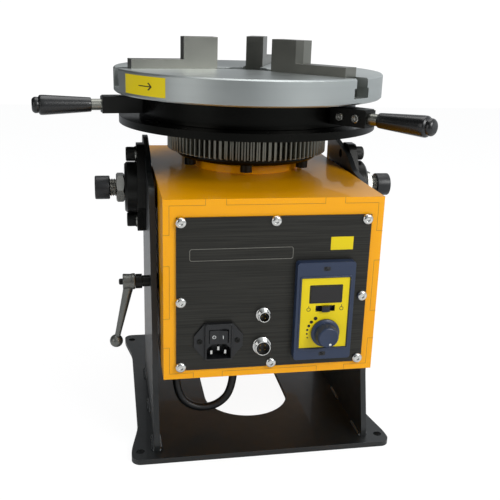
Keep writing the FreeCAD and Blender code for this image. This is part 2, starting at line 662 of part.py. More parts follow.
def stepped(spots, level, step):
    """Pairs of place and level that jump to another level between the first two and last two spots."""
    pairs = []
    for i, spot in enumerate(spots):
        pairs += [(spot, level), (spot, step)] if i % 2 == 0 else [(spot, step), (spot, level)]
    return pairs


def swapped(pairs):
    return [(second, first) for first, second in pairs]


def end_plate(name, low, windows):
    """Front or back plate: its tongues fill the notches of the four plates around it."""
    body = body_named(name)
    floor, roof = f"{HEAD_LOW} + plate", "head_top - plate"
    sides = steps(HEAD_MIDDLE, "side_tab_offset", "side_tab_width")
    bottom = stepped(steps("0", "bottom_tab_offset", "bottom_tab_width"), floor, HEAD_LOW)
    right = swapped(stepped(sides, SIDE_IN, "head_width / 2"))
    top = stepped(steps("0", "top_tab_offset", "top_tab_width"), roof, "head_top")
    left = swapped(stepped(sides, f"-{SIDE_IN}", "-head_width / 2"))
    outline = [(f"-{SIDE_IN}", floor)] + bottom + [(SIDE_IN, floor)] + right
    outline += [(SIDE_IN, roof)] + top[::-1] + [(f"-{SIDE_IN}", roof)] + left[::-1]
    pad(body, "XZ", low, f"{low} + plate", ("polygon", outline), *windows)


def lid(name, low, tab, holes):
    """Top or bottom plate, notched at the front and back."""
    body = body_named(name)
    spots = steps("0", f"{tab}_tab_offset", f"{tab}_tab_width")
    front = stepped(spots, "-head_front", "plate - head_front")
    back = stepped(spots, HEAD_BACK, f"{HEAD_BACK} - plate")
    left, right = "-head_width / 2", "head_width / 2"
    outline = [(left, "-head_front")] + front + [(right, "-head_front"), (right, HEAD_BACK)]
    outline += back[::-1] + [(left, HEAD_BACK)]
    pad(body, "XY", low, f"{low} + plate", ("polygon", outline), *holes)


def side_plate(name, low):
    """Left or right plate, notched at the front and back and bored for the trunnion stud."""
    body = body_named(name)
    floor, roof = f"{HEAD_LOW} + plate", "head_top - plate"
    spots = steps(HEAD_MIDDLE, "side_tab_offset", "side_tab_width")
    back = swapped(stepped(spots, HEAD_BACK, f"{HEAD_BACK} - plate"))
    front = swapped(stepped(spots, "-head_front", "plate - head_front"))
    outline = [("-head_front", floor), (HEAD_BACK, floor)] + back
    outline += [(HEAD_BACK, roof), ("-head_front", roof)] + front[::-1]
    bore = ("circle", "tilt_behind", "tilt_height", "stud_diameter / 2")
    pad(body, "YZ", low, f"{low} + plate", ("polygon", outline), bore)


def head_box():
    """Six finger-jointed plates."""
    windows = [rectangle(INLET_X, up("inlet_drop"), "inlet_width + cutout_fit", "inlet_height + cutout_fit"),
               rectangle(BEZEL_X, up("bezel_drop"), "controller_width + cutout_fit",
                         "controller_height + cutout_fit")]
    for plug in ("small_plug", "large_plug"):
        windows.append(("circle", f"{plug}_x", up(f"{plug}_drop"), f"({plug}_thread + cutout_fit) / 2"))
    end_plate("front_plate", "-head_front", windows + panel_screw_spots("m6 / 2"))
    end_plate("back_plate", f"{HEAD_BACK} - plate", [])
    lid("top_plate", "head_top - plate", "top",
        [("circle", "0", "spindle_behind", "housing_diameter / 2"),
         ("circle", f"-{PINION_SIDE}", PINION_BACK, "shaft_hole / 2")])
    lid("bottom_plate", HEAD_LOW, "bottom",
        [("circle", "0", "spindle_behind", "through_hole / 2")]
        + [("circle", x, "gland_y", "gland_thread / 2 + running") for x in (GLAND_LEFT, GLAND_RIGHT)])
    side_plate("left_plate", "-head_width / 2")
    side_plate("right_plate", SIDE_IN)


# ---------------------------------------------------------------- spindle

def on_spindle(thing, turn=None):
    return put(thing, "0", "spindle_behind", "0", turn)


def spindle_group():
    """Housing, taper bearings, hollow spindle with its collar, cover ring and lock nut."""
    shaft, bore, cup = "spindle_diameter / 2", "spindle_bore / 2", "bearing_diameter / 2"
    low_top = "lower_bearing + bearing_width"
    high_top = "upper_bearing + bearing_width"
    collar_top = "(gear_bottom - clamp_ring_thickness)"
    housing_top = "head_top + housing_proud"

    housing = body_named("spindle_housing")
    throat = f"{cup} - bearing_lip"
    spin(housing, [(cup, "housing_bottom"), ("housing_diameter / 2", "housing_bottom"),
                   ("housing_diameter / 2", "head_top"), ("housing_collar / 2", "head_top"),
                   ("housing_collar / 2", f"{housing_top} - 2"),
                   ("housing_collar / 2 - 2", housing_top), (cup, housing_top),
                   (cup, "upper_bearing"), (throat, "upper_bearing"), (throat, low_top),
                   (cup, low_top)])
    on_spindle(housing)

    shaft_body = body_named("spindle")
    spin(shaft_body, [(bore, "spindle_low"), (shaft, "spindle_low"), (shaft, high_top),
                      ("collar_diameter / 2", high_top), ("collar_diameter / 2", collar_top),
                      (shaft, collar_top), (shaft, FLANGE_TOP), (bore, FLANGE_TOP)])
    on_spindle(shaft_body)

    cones, cups = [], []
    for name, low, wide_up in (("lower_bearing", "lower_bearing", False),
                               ("upper_bearing", "upper_bearing", True)):
        high = f"({low} + bearing_width)"
        first, last = ("race_low", "race_high") if wide_up else ("race_high", "race_low")
        cone = body_named(name + "_cone")
        spin(cone, [(shaft, low), (first, low), (last, high), (shaft, high)])
        cones.append(on_spindle(cone))
        cup_ring = body_named(name + "_cup")
        spin(cup_ring, [(f"{first} + race_gap", low), (cup, low), (cup, high),
                        (f"{last} + race_gap", high)])
        cups.append(on_spindle(cup_ring))
    group("bearing_cones", cones)
    group("bearing_cups", cups)

    cover = body_named("bearing_cover")
    inner = "collar_diameter / 2 + cover_gap"
    spin(cover, [(inner, high_top), (cup, high_top), (cup, housing_top),
                 ("cover_diameter / 2", housing_top), ("cover_diameter / 2", f"{housing_top} + cover_rim"),
                 (inner, f"{housing_top} + cover_rim")])
    on_spindle(cover)

    nut = body_named("spindle_locknut")
    top = "lower_bearing"
    pad(nut, "XY", f"{top} - locknut_thickness", top, ("circle", "0", "0", "locknut_diameter / 2"),
        ("circle", "0", "0", shaft))
    doc.recompute()
    notch = pocket(nut, "XY", f"{top} - locknut_thickness", top,
                   rectangle("locknut_diameter / 2", "0", "locknut_slot", "locknut_slot"))
    polar(nut, notch, "locknut_slots")
    on_spindle(nut)


# ---------------------------------------------------------------- table drive

def tooth_angle(radius, pitch, base, teeth, backlash):
    """Half the angle that an involute tooth covers at a radius."""
    def involute(r):
        angle = math.acos(min(1.0, base / r))
        return math.tan(angle) - angle
    half = math.pi / (2 * teeth) - backlash / (4 * pitch)
    return half + involute(pitch) - involute(max(radius, base))


def gear_outline(teeth, module, backlash, phase):
    """The closed outline of a spur gear: six points a tooth, on root, pitch and tip circles."""
    pitch = module * teeth / 2
    base = pitch * math.cos(math.radians(20))
    tip, root = pitch + module, pitch - 1.25 * module
    corners = []
    for tooth in range(teeth):
        middle = phase + 2 * math.pi * tooth / teeth
        for radius, side in ((root, -1), (pitch, -1), (tip, -1), (tip, 1), (pitch, 1), (root, 1)):
            angle = middle + side * tooth_angle(radius, pitch, base, teeth, backlash)
            corners.append(V(radius * math.cos(angle), radius * math.sin(angle), 0))
    return Part.Face(Part.makePolygon(corners + corners[:1]))


def bolt_spots(circle, count, start):
    radius = worth(circle) / 2
    return [about_z(start + 360 / count * i).multVec(V(radius, 0, 0)) for i in range(count)]


def drilled(shape, spots, radius, low, high):
    for spot in spots:
        shape = shape.cut(Part.makeCylinder(radius, high - low, V(spot.x, spot.y, low)))
    return shape


def table_drive():
    """Table gear with its clamp ring and screws, the pinion in mesh with it, and the gearmotor."""
    axis = V(0, worth("spindle_behind"), 0)
    side, back = worth(PINION_SIDE), worth(PINION_BACK)
    toward = math.atan2(back - axis.y, -side)
    count = int(worth("drive_screws"))
    teeth, pinion_teeth = int(worth("gear_teeth")), int(worth("pinion_teeth"))
    low, top = worth("gear_bottom"), worth(GEAR_TOP)
    screw_hole = worth("m8 / 2 + screw_clearance")
    ring_low = low - worth("clamp_ring_thickness")
    spots = bolt_spots("gear_screw_circle", count, 20)
    shaft = worth("spindle_diameter") / 2

    face = gear_outline(teeth, worth("gear_module"), worth("backlash"), toward + math.pi / teeth)
    wheel = face.extrude(V(0, 0, top - low))
    wheel = wheel.cut(Part.makeCylinder(shaft, top - low))
    wheel.translate(V(0, 0, low))
    made("table_gear", drilled(wheel, spots, screw_hole, low, top)).Placement.Base = axis

    rim, slope = worth("clamp_ring_diameter") / 2, worth("clamp_ring_chamfer")
    edge = [V(shaft, 0, ring_low), V(rim - slope, 0, ring_low), V(rim, 0, ring_low + slope),
            V(rim, 0, low), V(shaft, 0, low), V(shaft, 0, ring_low)]
    ring = Part.Face(Part.makePolygon(edge)).revolve(V(), V(0, 0, 1), 360)
    made("gear_clamp_ring", drilled(ring, spots, screw_hole, ring_low, low)).Placement.Base = axis

    reach = worth(FLANGE_TOP) - worth("blind_web") - ring_low
    screw = socket_screw(worth("m8_head"), worth("m8_head_height"), worth("m8"), reach, worth("m8") * 0.75)
    upside_down = FreeCAD.Rotation(V(1, 0, 0), 180)
    places = [FreeCAD.Placement(axis + s + V(0, 0, ring_low), upside_down) for s in spots]
    gear_screws = made("gear_screws", copies(screw, places))

    pinion_face = worth("pinion_face")
    pinion_low = (low + top - pinion_face) / 2
    face = gear_outline(pinion_teeth, worth("gear_module"), worth("backlash"), toward + math.pi)
    pinion = face.extrude(V(0, 0, pinion_face))
    pinion = pinion.cut(Part.makeCylinder(worth("motor_shaft") / 2, pinion_face))
    made("drive_pinion", pinion).Placement.Base = V(-side, back, pinion_low)
    motor_group(pinion_low + pinion_face)
    return gear_screws


def motor_group(shaft_top):
    """Gearmotor under the top plate: the output shaft is offset from the motor's own axis."""
    seat = "head_top - plate"
    centre = f"({PINION_BACK} - shaft_offset)"

    shaft = body_named("output_shaft")
    radius, foot = "motor_shaft / 2", "head_top - plate - gearhead_length / 2"
    spin(shaft, [("0", foot), (radius, foot), (radius, str(shaft_top)), ("0", str(shaft_top))])
    put(shaft, f"-{PINION_SIDE}", PINION_BACK)

    gearhead = body_named("gearhead")
    outline = rectangle(f"-{PINION_SIDE}", centre, "motor_frame", "motor_frame")
    bore = ("circle", f"-{PINION_SIDE}", PINION_BACK, "motor_shaft / 2 + running")
    pad(gearhead, "XY", f"{seat} - gearhead_length", seat, outline)
    pad(gearhead, "XY", seat, f"{seat} + shaft_boss_height",
        ("circle", f"-{PINION_SIDE}", PINION_BACK, "shaft_boss / 2"))
    pocket(gearhead, "XY", f"{foot} - shaft_end_gap", f"{seat} + shaft_boss_height", bore)
    corners = [(f"-{PINION_SIDE} {sx} motor_frame / 2", f"{centre} {sy} motor_frame / 2")
               for sx in "+-" for sy in "+-"]
    round_edges(gearhead, "Fillet", "motor_corner", corner_at(2, *corners))

    motor = body_named("drive_motor")
    high = f"{seat} - gearhead_length"
    pad(motor, "XY", f"{high} - motor_length", high, outline)
    round_edges(motor, "Fillet", "motor_corner", corner_at(2, *corners))
    groove, core = (rectangle(f"-{PINION_SIDE}", centre, width, width)
                    for width in ("motor_frame + 2 * fin_depth", "motor_frame - 2 * fin_depth"))
    for i in range(int(worth("fins"))):
        level = f"({high} - fin_start - {i} * fin_pitch)"
        pocket(motor, "XY", f"{level} - fin_width", level, groove, core)


# ---------------------------------------------------------------- chuck

def back_flange():
    """Thin flange under the scroll ring, tapped for the gear screws and counterbored for its own."""
    low, high = worth(GEAR_TOP), worth(FLANGE_TOP)
    count = int(worth("drive_screws"))
    plate = Part.makeCylinder(worth("flange_diameter") / 2, high - low, V(0, 0, low))
    plate = plate.cut(Part.makeCylinder(worth("spindle_diameter") / 2, high - low, V(0, 0, low)))
    web = worth("blind_web")
    plate = drilled(plate, bolt_spots("gear_screw_circle", count, 20), worth("m8") / 2, low, high - web)
    own = bolt_spots("chuck_screw_circle", count, 0)
    plate = drilled(plate, own, worth("m8 / 2 + running"), low, high)
    web = worth("counterbore_web")
    sunk = worth("flange_thickness") - web
    plate = drilled(plate, own, worth("m8_head / 2 + running"), low, low + sunk)
    axis = V(0, worth("spindle_behind"), 0)
    made("back_flange", plate).Placement.Base = axis
    screw = socket_screw(worth("m8_head"), sunk - worth("head_sink"), worth("m8"),
                         web + worth("chuck_screw_depth"), worth("m8") * 0.6)
    upside_down = FreeCAD.Rotation(V(1, 0, 0), 180)
    places = [FreeCAD.Placement(axis + s + V(0, 0, low + sunk), upside_down) for s in own]
    return made("chuck_screws", copies(screw, places))


def jaw_angles():
    return [worth("jaw_angle") + 360 / worth("jaw_count") * i for i in range(int(worth("jaw_count")))]


def block(x_low, x_high, width, z_low, z_high):
    return Part.makeBox(x_high - x_low, width, z_high - z_low, V(x_low, -width / 2, z_low))


def chuck_body():
    """Aluminium disc with a hub, three through T-slots and a window over the scroll in each."""
    bore, low, high = worth("chuck_bore") / 2, worth(CHUCK_LOW), worth(CHUCK_TOP)
    rim, edge, hub = worth("chuck_diameter") / 2, worth("chuck_edge"), worth("chuck_hub") / 2
    profile = [V(bore, 0, worth(FLANGE_TOP)), V(hub, 0, worth(FLANGE_TOP)), V(hub, 0, low),
               V(rim - edge, 0, low), V(rim, 0, low + edge), V(rim, 0, high - edge),
               V(rim - edge, 0, high), V(bore, 0, high)]
    body = Part.Face(Part.makePolygon(profile + profile[:1])).revolve(V(), V(0, 0, 1), 360)
    fit = worth("jaw_fit")
    floor = low + worth("slot_floor")
    tee_top = floor + worth("tee_height") + 2 * fit
    neck = block(0, rim + 1, worth("jaw_width") + 2 * fit, floor, high + 1)
    tee = block(0, rim + 1, worth("tee_width") + 2 * fit, floor, tee_top)
    start = worth("tooth_inner") - worth("jaw_travel_in") - worth("window_margin")
    end = rack_end() + worth("jaw_travel_out") + worth("window_margin")
    window = block(start, end, worth("rack_width") + 4 * fit, low - 1, floor + 1)
    for angle in jaw_angles():
        for cutter in (neck, tee, window):
            tool = cutter.copy()
            tool.rotate(V(), V(0, 0, 1), angle)
            body = body.cut(tool)
    depth = worth("chuck_screw_depth")
    bottom = worth(FLANGE_TOP)
    spots = bolt_spots("chuck_screw_circle", int(worth("drive_screws")), 0)
    body = drilled(body, spots, worth("m8") / 2, bottom, bottom + depth)
    made("chuck_body", body.removeSplitter()).Placement.Base = V(0, worth("spindle_behind"), 0)


def rack_end():
    """Where a jaw's rack ends: room for its teeth and one pitch, since each starts at its own phase."""
    return worth("tooth_inner + jaw_teeth * scroll_pitch + scroll_pitch / 2")


def spiral_edge(offset, level):
    """One wall of the scroll groove: a flat spiral that grows clockwise, as arcs through three points."""
    pitch, inner, outer = worth("scroll_pitch"), worth("scroll_inner"), worth("scroll_outer")
    turns = (outer - inner) / pitch
    count = 2 * math.ceil(turns * worth("scroll_arcs"))
    spots = []
    for i in range(count + 1):
        turned = turns * i / count
        radius = inner + pitch * turned + offset
        angle = -2 * math.pi * turned
        spots.append(V(radius * math.cos(angle), radius * math.sin(angle), level))
    return [Part.Arc(*spots[i:i + 3]).toShape() for i in range(0, count, 2)], spots[0], spots[-1]


def scroll_ring():
    """Hand-turned ring: a spiral groove in its top face drives the teeth of the jaws."""
    low, high = worth(RING_LOW), worth(RING_TOP)
    outer, inner = worth("ring_diameter") / 2, worth("chuck_hub / 2 + ring_fit")
    ring = Part.makeCylinder(outer, high - low, V(0, 0, low))
    ring = ring.cut(Part.makeCylinder(inner, high - low, V(0, 0, low)))
    half = worth("scroll_pitch - scroll_rib") / 2
    level = high - worth("scroll_depth")
    inside, inside_start, inside_end = spiral_edge(-half, level)
    outside, outside_start, outside_end = spiral_edge(half, level)
    ends = [Part.makeLine(inside_end, outside_end), Part.makeLine(outside_start, inside_start)]
    outline = Part.Wire(Part.__sortEdges__(inside + outside + ends))
    groove = Part.Face(outline).extrude(V(0, 0, worth("scroll_depth") + 1))
    made("scroll_ring", ring.cut(groove)).Placement.Base = V(0, worth("spindle_behind"), 0)


def jaw(number, angle):
    """Stepped jaw on a T foot, with arc teeth whose phase follows the spiral at this jaw."""
    fit, width = worth("jaw_fit"), worth("jaw_width")
    floor = worth(CHUCK_LOW) + worth("slot_floor") + fit
    tee_top = floor + worth("tee_height")
    deck = worth(CHUCK_TOP)
    inner, outer = worth("jaw_inner"), worth("jaw_outer")
    bar_top, top = deck + worth("jaw_bar"), deck + worth("jaw_height")
    cut = worth("jaw_chamfer")
    shape = block(inner, outer, worth("tee_width"), floor, tee_top)
    half = width / 2
    far = inner + worth("jaw_block")
    bar = block(inner, outer, width, tee_top, bar_top)
    tall = [V(inner, -half, 0), V(far - cut, -half, 0), V(far, cut - half, 0), V(far, half, 0),
            V(inner, half, 0)]
    tower = Part.Face(Part.makePolygon(tall + tall[:1])).extrude(V(0, 0, top - bar_top))
    tower.translate(V(0, 0, bar_top))
    rack_low = worth(RING_TOP) + worth("ring_gap")
    start, end = worth("tooth_inner"), rack_end()
    rack = block(start, end, worth("rack_width"), rack_low, floor)
    shape = shape.fuse([bar, tower, rack])

    pitch, tooth = worth("scroll_pitch"), worth("tooth_width")
    phase = (worth("scroll_inner") - pitch * angle / 360) % pitch
    first = math.ceil((start + tooth / 2 - phase) / pitch)
    strip = block(start, end, worth("rack_width"), worth(RING_TOP) - worth("tooth_depth"), rack_low)
    for i in range(int(worth("jaw_teeth"))):
        radius = phase + pitch * (first + i)
        height = strip.BoundBox.ZLength
        arc = Part.makeCylinder(radius + tooth / 2, height, V(0, 0, strip.BoundBox.ZMin))
        arc = arc.cut(Part.makeCylinder(radius - tooth / 2, height, V(0, 0, strip.BoundBox.ZMin)))
        shape = shape.fuse(arc.common(strip))
    jaw_node = made(f"jaw_{number}", shape.removeSplitter())
    jaw_node.Placement = FreeCAD.Placement(V(0, worth("spindle_behind"), 0), about_z(angle))


def handle(number, angle):
    """Lug on the ring's rim, steel link and tapered grip, all on one radial line."""
    middle = worth(RING_LOW) + worth("ring_height") / 2
    wide, tall, end = worth("lug_width"), worth("lug_height"), worth("lug_end")
    ring, root = worth("ring_diameter") / 2, worth("link_width") / 2
    link_start, link_end = end - worth("link_depth"), worth("link_end") + worth("grip_depth")
    link = Part.makeCylinder(root, link_end - link_start, V(link_start, 0, middle), V(1, 0, 0))
    lug = block(ring - worth("lug_overlap"), end, wide, middle - tall / 2, middle + tall / 2)
    lug = lug.cut(Part.makeCylinder(ring, 2 * tall, V(0, 0, middle - tall))).cut(link)

    start, end = worth("link_end"), worth("grip_end")
    neck, tip, thick = end - worth("bead_length"), worth("grip_tip") / 2, worth("grip_root") / 2
    bead, edge, slope = worth("grip_bead") / 2, worth("grip_edge"), worth("bead_rounding")
    profile = [V(start, 0, 0), V(start, 0, thick), V(neck - edge, 0, tip), V(neck, 0, tip - edge),
               V(neck + worth("bead_edge"), 0, bead), V(end - edge, 0, bead),
               V(end, 0, bead - slope), V(end, 0, 0)]
    grip = Part.Face(Part.makePolygon(profile + profile[:1])).revolve(V(), V(1, 0, 0), 360)
    grip.translate(V(0, 0, middle))

    spot = FreeCAD.Placement(V(0, worth("spindle_behind"), 0), about_z(angle))
    pieces = []
    for kind, shape in (("lug", lug), ("link", link), ("grip", grip.cut(link))):
        pieces.append(made(f"handle_{kind}_{number}", shape))
        pieces[-1].Placement = spot
    return pieces


# ---------------------------------------------------------------- control panel

def panel_screw_spots(radius):
    loops = []
    edge = "(head_width / 2 - panel_screw_inset)"
    for x, drops in ((f"-{edge}", "tml"), ("0", "tl"), (edge, "tml")):
        for letter, drop in (("t", "panel_screw_top"), ("m", "panel_screw_mid"), ("l", "panel_screw_low")):
            if letter in drops:
                loops.append(("circle", x, up(drop), radius))
    return loops


def control_panel():
    """Black sheet with cut-outs for the inlet, the two plugs and the speed controller."""
    panel = body_named("control_panel")
    loops = [rectangle("0", up("panel_drop + panel_height / 2"), "head_width - 2 * panel_margin",
                       "panel_height")]
    loops.append(rectangle(INLET_X, up("inlet_drop"), "inlet_width", "inlet_height"))
    loops.append(("circle", "small_plug_x", up("small_plug_drop"), "small_plug_thread / 2"))
    loops.append(("circle", "large_plug_x", up("large_plug_drop"), "large_plug_thread / 2"))
    loops.append(rectangle(BEZEL_X, up("bezel_drop"), "controller_width", "controller_height"))
    pad(panel, "XZ", PANEL_FACE, PANEL_BACK, *loops, *panel_screw_spots("m6 / 2"))

    screw = socket_screw(worth("panel_screw_head"), worth("panel_screw_height"), worth("m6"),
                         worth("panel_thickness + plate"), worth("m6") * 0.6)
    places = []
    for _, x, height, _ in panel_screw_spots("1"):
        spot = V(worth(x), worth(PANEL_FACE), worth(height))
        places.append(FreeCAD.Placement(spot, forward()))
    made("panel_screws", copies(screw, places))


def power_inlet():
    """Inlet module: eared flange, raised frame, socket well with three blades, and the rocker."""
    housing = body_named("inlet_housing")
    centre = up("inlet_drop")
    wide, high, far, tall = "inlet_width / 2", "inlet_height / 2", "inlet_ears / 2", "ear_height / 2"
    quarter = [(wide, high), (far, tall)]
    eared = [(f"{INLET_X} {sx} {x}", f"{centre} {sz} {z}")
             for sx, sz, part in (("+", "+", quarter), ("+", "-", quarter[::-1]),
                                  ("-", "-", quarter), ("-", "+", quarter[::-1])) for x, z in part]
    frame = rectangle(INLET_X, centre, "inlet_width", "inlet_height")
    front = f"{PANEL_FACE} - inlet_proud"
    pad(housing, "XZ", f"{PANEL_FACE} - inlet_flange", PANEL_FACE, ("polygon", eared))
    pad(housing, "XZ", front, f"{PANEL_FACE} - inlet_flange", frame)
    pad(housing, "XZ", PANEL_FACE, f"{PANEL_FACE} + inlet_depth", frame)
    mid = up("socket_drop")
    w, tall, cut = "socket_width / 2", "socket_height / 2", "socket_corner"
    left, right = f"{INLET_X} - {w}", f"{INLET_X} + {w}"
    well = [(left, f"{mid} - {tall}"), (right, f"{mid} - {tall}"), (right, f"{mid} + {tall} - {cut}"),
            (f"{right} - {cut}", f"{mid} + {tall}"), (f"{left} + {cut}", f"{mid} + {tall}"),
            (left, f"{mid} + {tall} - {cut}")]
    pocket(housing, "XZ", front, f"{front} + inlet_socket_depth", ("polygon", well))
    hole = rectangle(INLET_X, up("rocker_drop"), "rocker_width", "rocker_height")
    pocket(housing, "XZ", front, f"{front} + rocker_depth", hole)

    floor = worth(f"{front} + inlet_socket_depth")
    thick, tall_pin = worth("pin_width"), worth("pin_height")
    reach = worth("inlet_socket_depth") - 3
    pins = []
    for x, z in ((-0.5, -0.5), (0.5, -0.5), (0, 0.5)):
        corner = V(worth(INLET_X) + x * worth("pin_spacing") - thick / 2, floor - reach,
                   worth(mid) + z * worth("pin_step") - tall_pin / 2)
        pins.append(Part.makeBox(thick, reach, tall_pin, corner))
    made("inlet_pins", Part.Compound(pins))
    rocker(front)


def rocker(front):
    """Rocker with a shallow V face on an upright axle: stored tipped, with its left half pressed in."""
    tilt, swell, depth = worth("rocker_tilt"), worth("rocker_swell"), worth("rocker_body")
    half = worth("rocker_width / 2 - rocker_fit - rocker_end_gap")
    rise = half * math.tan(math.radians(tilt))
    face = [V(-half * 0.7, depth, 0), V(half * 0.7, depth, 0), V(half, -swell - rise, 0),
            V(0, -swell, 0), V(-half, -swell - rise, 0)]
    tall, long = worth("rocker_height - 2 * rocker_fit"), worth("rocker_height - 2 * running")
    shape = Part.Face(Part.makePolygon(face + face[:1])).extrude(V(0, 0, tall))
    shape = baked(shape, FreeCAD.Rotation(), V(0, 0, -tall / 2))
    axle = Part.makeCylinder(worth("rocker_axle") / 2, long, V(0, 0, -long / 2))
    node = made("power_rocker", baked(shape.fuse(axle), about_z(-tilt), V()))
    node.Placement.Base = V(worth(INLET_X), worth(f"{front} + rocker_sink"), worth(up("rocker_drop")))


def panel_plugs():
    """Two chromed panel sockets with dark inserts."""
    shells, inserts = [], []
    for name, size in (("small_socket", "small_plug"), ("large_socket", "large_plug")):
        shell = body_named(name)
        thread, flange = f"{size}_thread / 2", f"{size} / 2"
        wall = f"{size}_thread / 2 - plug_wall"
        spin(shell, [(wall, "-plug_depth"), (thread, "-plug_depth"), (thread, "panel_thickness"),
                     (flange, "panel_thickness"), (flange, "panel_thickness + plug_flange"),
                     (thread, "panel_thickness + plug_flange"), (thread, "panel_thickness + plug_proud"),
                     (wall, "panel_thickness + plug_proud")])
        shells.append(put(shell, f"{size}_x", PANEL_BACK, up(f"{size}_drop"), forward()))
        radius, length = worth(wall), worth("plug_depth + panel_thickness")
        core = Part.makeCylinder(radius, length, V(0, 0, -worth("plug_depth")))
        spot = V(worth(f"{size}_x"), worth(PANEL_BACK), worth(up(f"{size}_drop")))
        inserts.append(baked(core, forward(), spot))
    group("panel_sockets", shells)
    made("socket_inserts", Part.Compound(inserts))


def speed_controller():
    """Controller module: bezel with its body behind, face plate, display, slide switch and dial."""
    bezel = body_named("controller_bezel")
    mid = up("bezel_drop")
    front = f"({PANEL_FACE} - bezel_proud)"
    recess = f"({front} + bezel_recess)"
    pad(bezel, "XZ", front, PANEL_FACE, rectangle(BEZEL_X, mid, "bezel_width", "bezel_height"))
    pad(bezel, "XZ", PANEL_FACE, f"{PANEL_FACE} + controller_depth",
        rectangle(BEZEL_X, mid, "controller_width", "controller_height"))
    face = rectangle(BEZEL_X, up("face_drop"), "face_width", "face_height")
    pocket(bezel, "XZ", front, recess, face)
    slot = rectangle(f"{BEZEL_X} + switch_shift", up("switch_drop"),
                     "switch_knob + 2 * switch_travel + 2 * switch_margin", "switch_height")
    hole = ("circle", f"{BEZEL_X} + dial_shift", up("dial_drop"), "dial_shaft / 2 + running")
    pocket(bezel, "XZ", recess, f"{recess} + switch_depth", slot)
    pocket(bezel, "XZ", recess, f"{recess} + switch_depth", hole)
    corners = [(f"{BEZEL_X} {sx} bezel_width / 2", f"{mid} {sz} bezel_height / 2")
               for sx in "+-" for sz in "+-"]
    round_edges(bezel, "Fillet", "bezel_corner", corner_at(1, *corners))

    plate = body_named("controller_face")
    loops = [rectangle(BEZEL_X, up("face_drop"), "face_width - 2 * face_gap",
                       "face_height - 2 * face_gap"), slot, hole]
    display = rectangle(f"{BEZEL_X} + display_shift", up("display_drop"), "display_width",
                        "display_height")
    pad(plate, "XZ", f"{recess} - face_thickness", recess, *loops, display)

    window = body_named("display_window")
    pad(window, "XZ", f"{recess} - face_thickness - display_proud", recess, display)

    slider = body_named("direction_switch")
    pad(slider, "XZ", f"{recess} - switch_proud", f"{recess} + switch_root",
        rectangle(f"{BEZEL_X} + switch_shift", up("switch_drop"), "switch_knob",
                  "switch_height - 2 * side_play"))

    dial = body_named("speed_dial")
    radius = "dial_diameter / 2"
    floor = "panel_thickness + bezel_proud - bezel_recess"
    start, root = f"{floor} + face_thickness + side_play", f"{floor} - dial_root"
    end, waist = f"{start} + dial_length", f"{radius} - dial_taper"
    spin(dial, [("0", root), ("dial_shaft / 2", root), ("dial_shaft / 2", start), (radius, start),
                (radius, f"{start} + dial_skirt"), (waist, f"{start} + dial_skirt + dial_edge"),
                (f"{waist} - dial_edge", f"{end} - dial_edge"), (f"{waist} - 2 * dial_edge", end),
                ("0", end)])
    put(dial, f"{BEZEL_X} + dial_shift", PANEL_BACK, up("dial_drop"), forward())


# ---------------------------------------------------------------- cable loop

# Corners of the cable's run, measured from where it leaves the left gland.
CABLE_ROUTE = [(-0.5, -2, -31), (19, -5, -50.2), (46.5, -5, -49.5), (65, -2, -30.5)]


def gland(name, x):
    """Cable gland through the bottom plate: thread and nut inside, hexagon and dome below."""
    body = body_named(name)
    bore = "cable_diameter / 2"
    low, seat = f"{HEAD_LOW} - gland_length", HEAD_LOW
    shoulder = f"{seat} - gland_length * 0.4"
    pad(body, "XY", shoulder, seat, ("polygon", hexagon("gland_hex")), ("circle", "0", "0", bore))
    spin(body, [(bore, low), ("gland_dome / 2 - gland_nose", low), ("gland_dome / 2", f"{low} + gland_slope"),
                ("gland_dome / 2", shoulder), (bore, shoulder)])
    top = f"{seat} + plate + gland_inside"
    spin(body, [(bore, seat), ("gland_thread / 2", seat), ("gland_thread / 2", top), (bore, top)])
    return put(body, x, "gland_y")


def cable_path(spots):
    """Straight runs joined by tangent arcs, each as large as its two runs allow."""
    edges, last, radii = [], spots[0], []
    for before, here, after in zip(spots, spots[1:], spots[2:]):
        come, go = (here - before), (after - here)
        turn = come.getAngle(go)
        cut = 0.45 * min(come.Length, go.Length)
        radii.append(cut / math.tan(turn / 2))
        come.normalize()
        go.normalize()
        start, end = here - come * cut, here + go * cut
        bend = (here - start).cross(end - here)
        toward = bend.cross(come)
        toward.normalize()
        centre = start + toward * radii[-1]
        inward = here - centre
        inward.normalize()
        edges.append(Part.makeLine(last, start))
        edges.append(Part.Arc(start, centre + inward * radii[-1], end).toShape())
        last = end
    edges.append(Part.makeLine(last, spots[-1]))
    print("cable bend radii:", [round(radius, 1) for radius in radii])
    return Part.Wire(edges)


def loop_cable():
    low = worth(f"{HEAD_LOW} - gland_length")
    ends = [V(worth(x), worth("gland_y"), low) for x in (GLAND_LEFT, GLAND_RIGHT)]
    path = cable_path([ends[0]] + [ends[0] + V(*spot) for spot in CABLE_ROUTE] + [ends[1]])
    first = path.Edges[0]
    direction = first.valueAt(first.LastParameter) - first.valueAt(first.FirstParameter)
    section = Part.Wire(Part.makeCircle(worth("cable_diameter") / 2, ends[0], direction))
    tube = path.makePipeShell([section], True, True)
    expected = math.pi * worth("cable_diameter") ** 2 / 4 * path.Length
    print("cable length", round(path.Length, 1), "volume ratio", round(tube.Volume / expected, 4))
    made("loop_cable", tube)


# ---------------------------------------------------------------- assembly

HANDS = (("left", -1), ("right", 1))

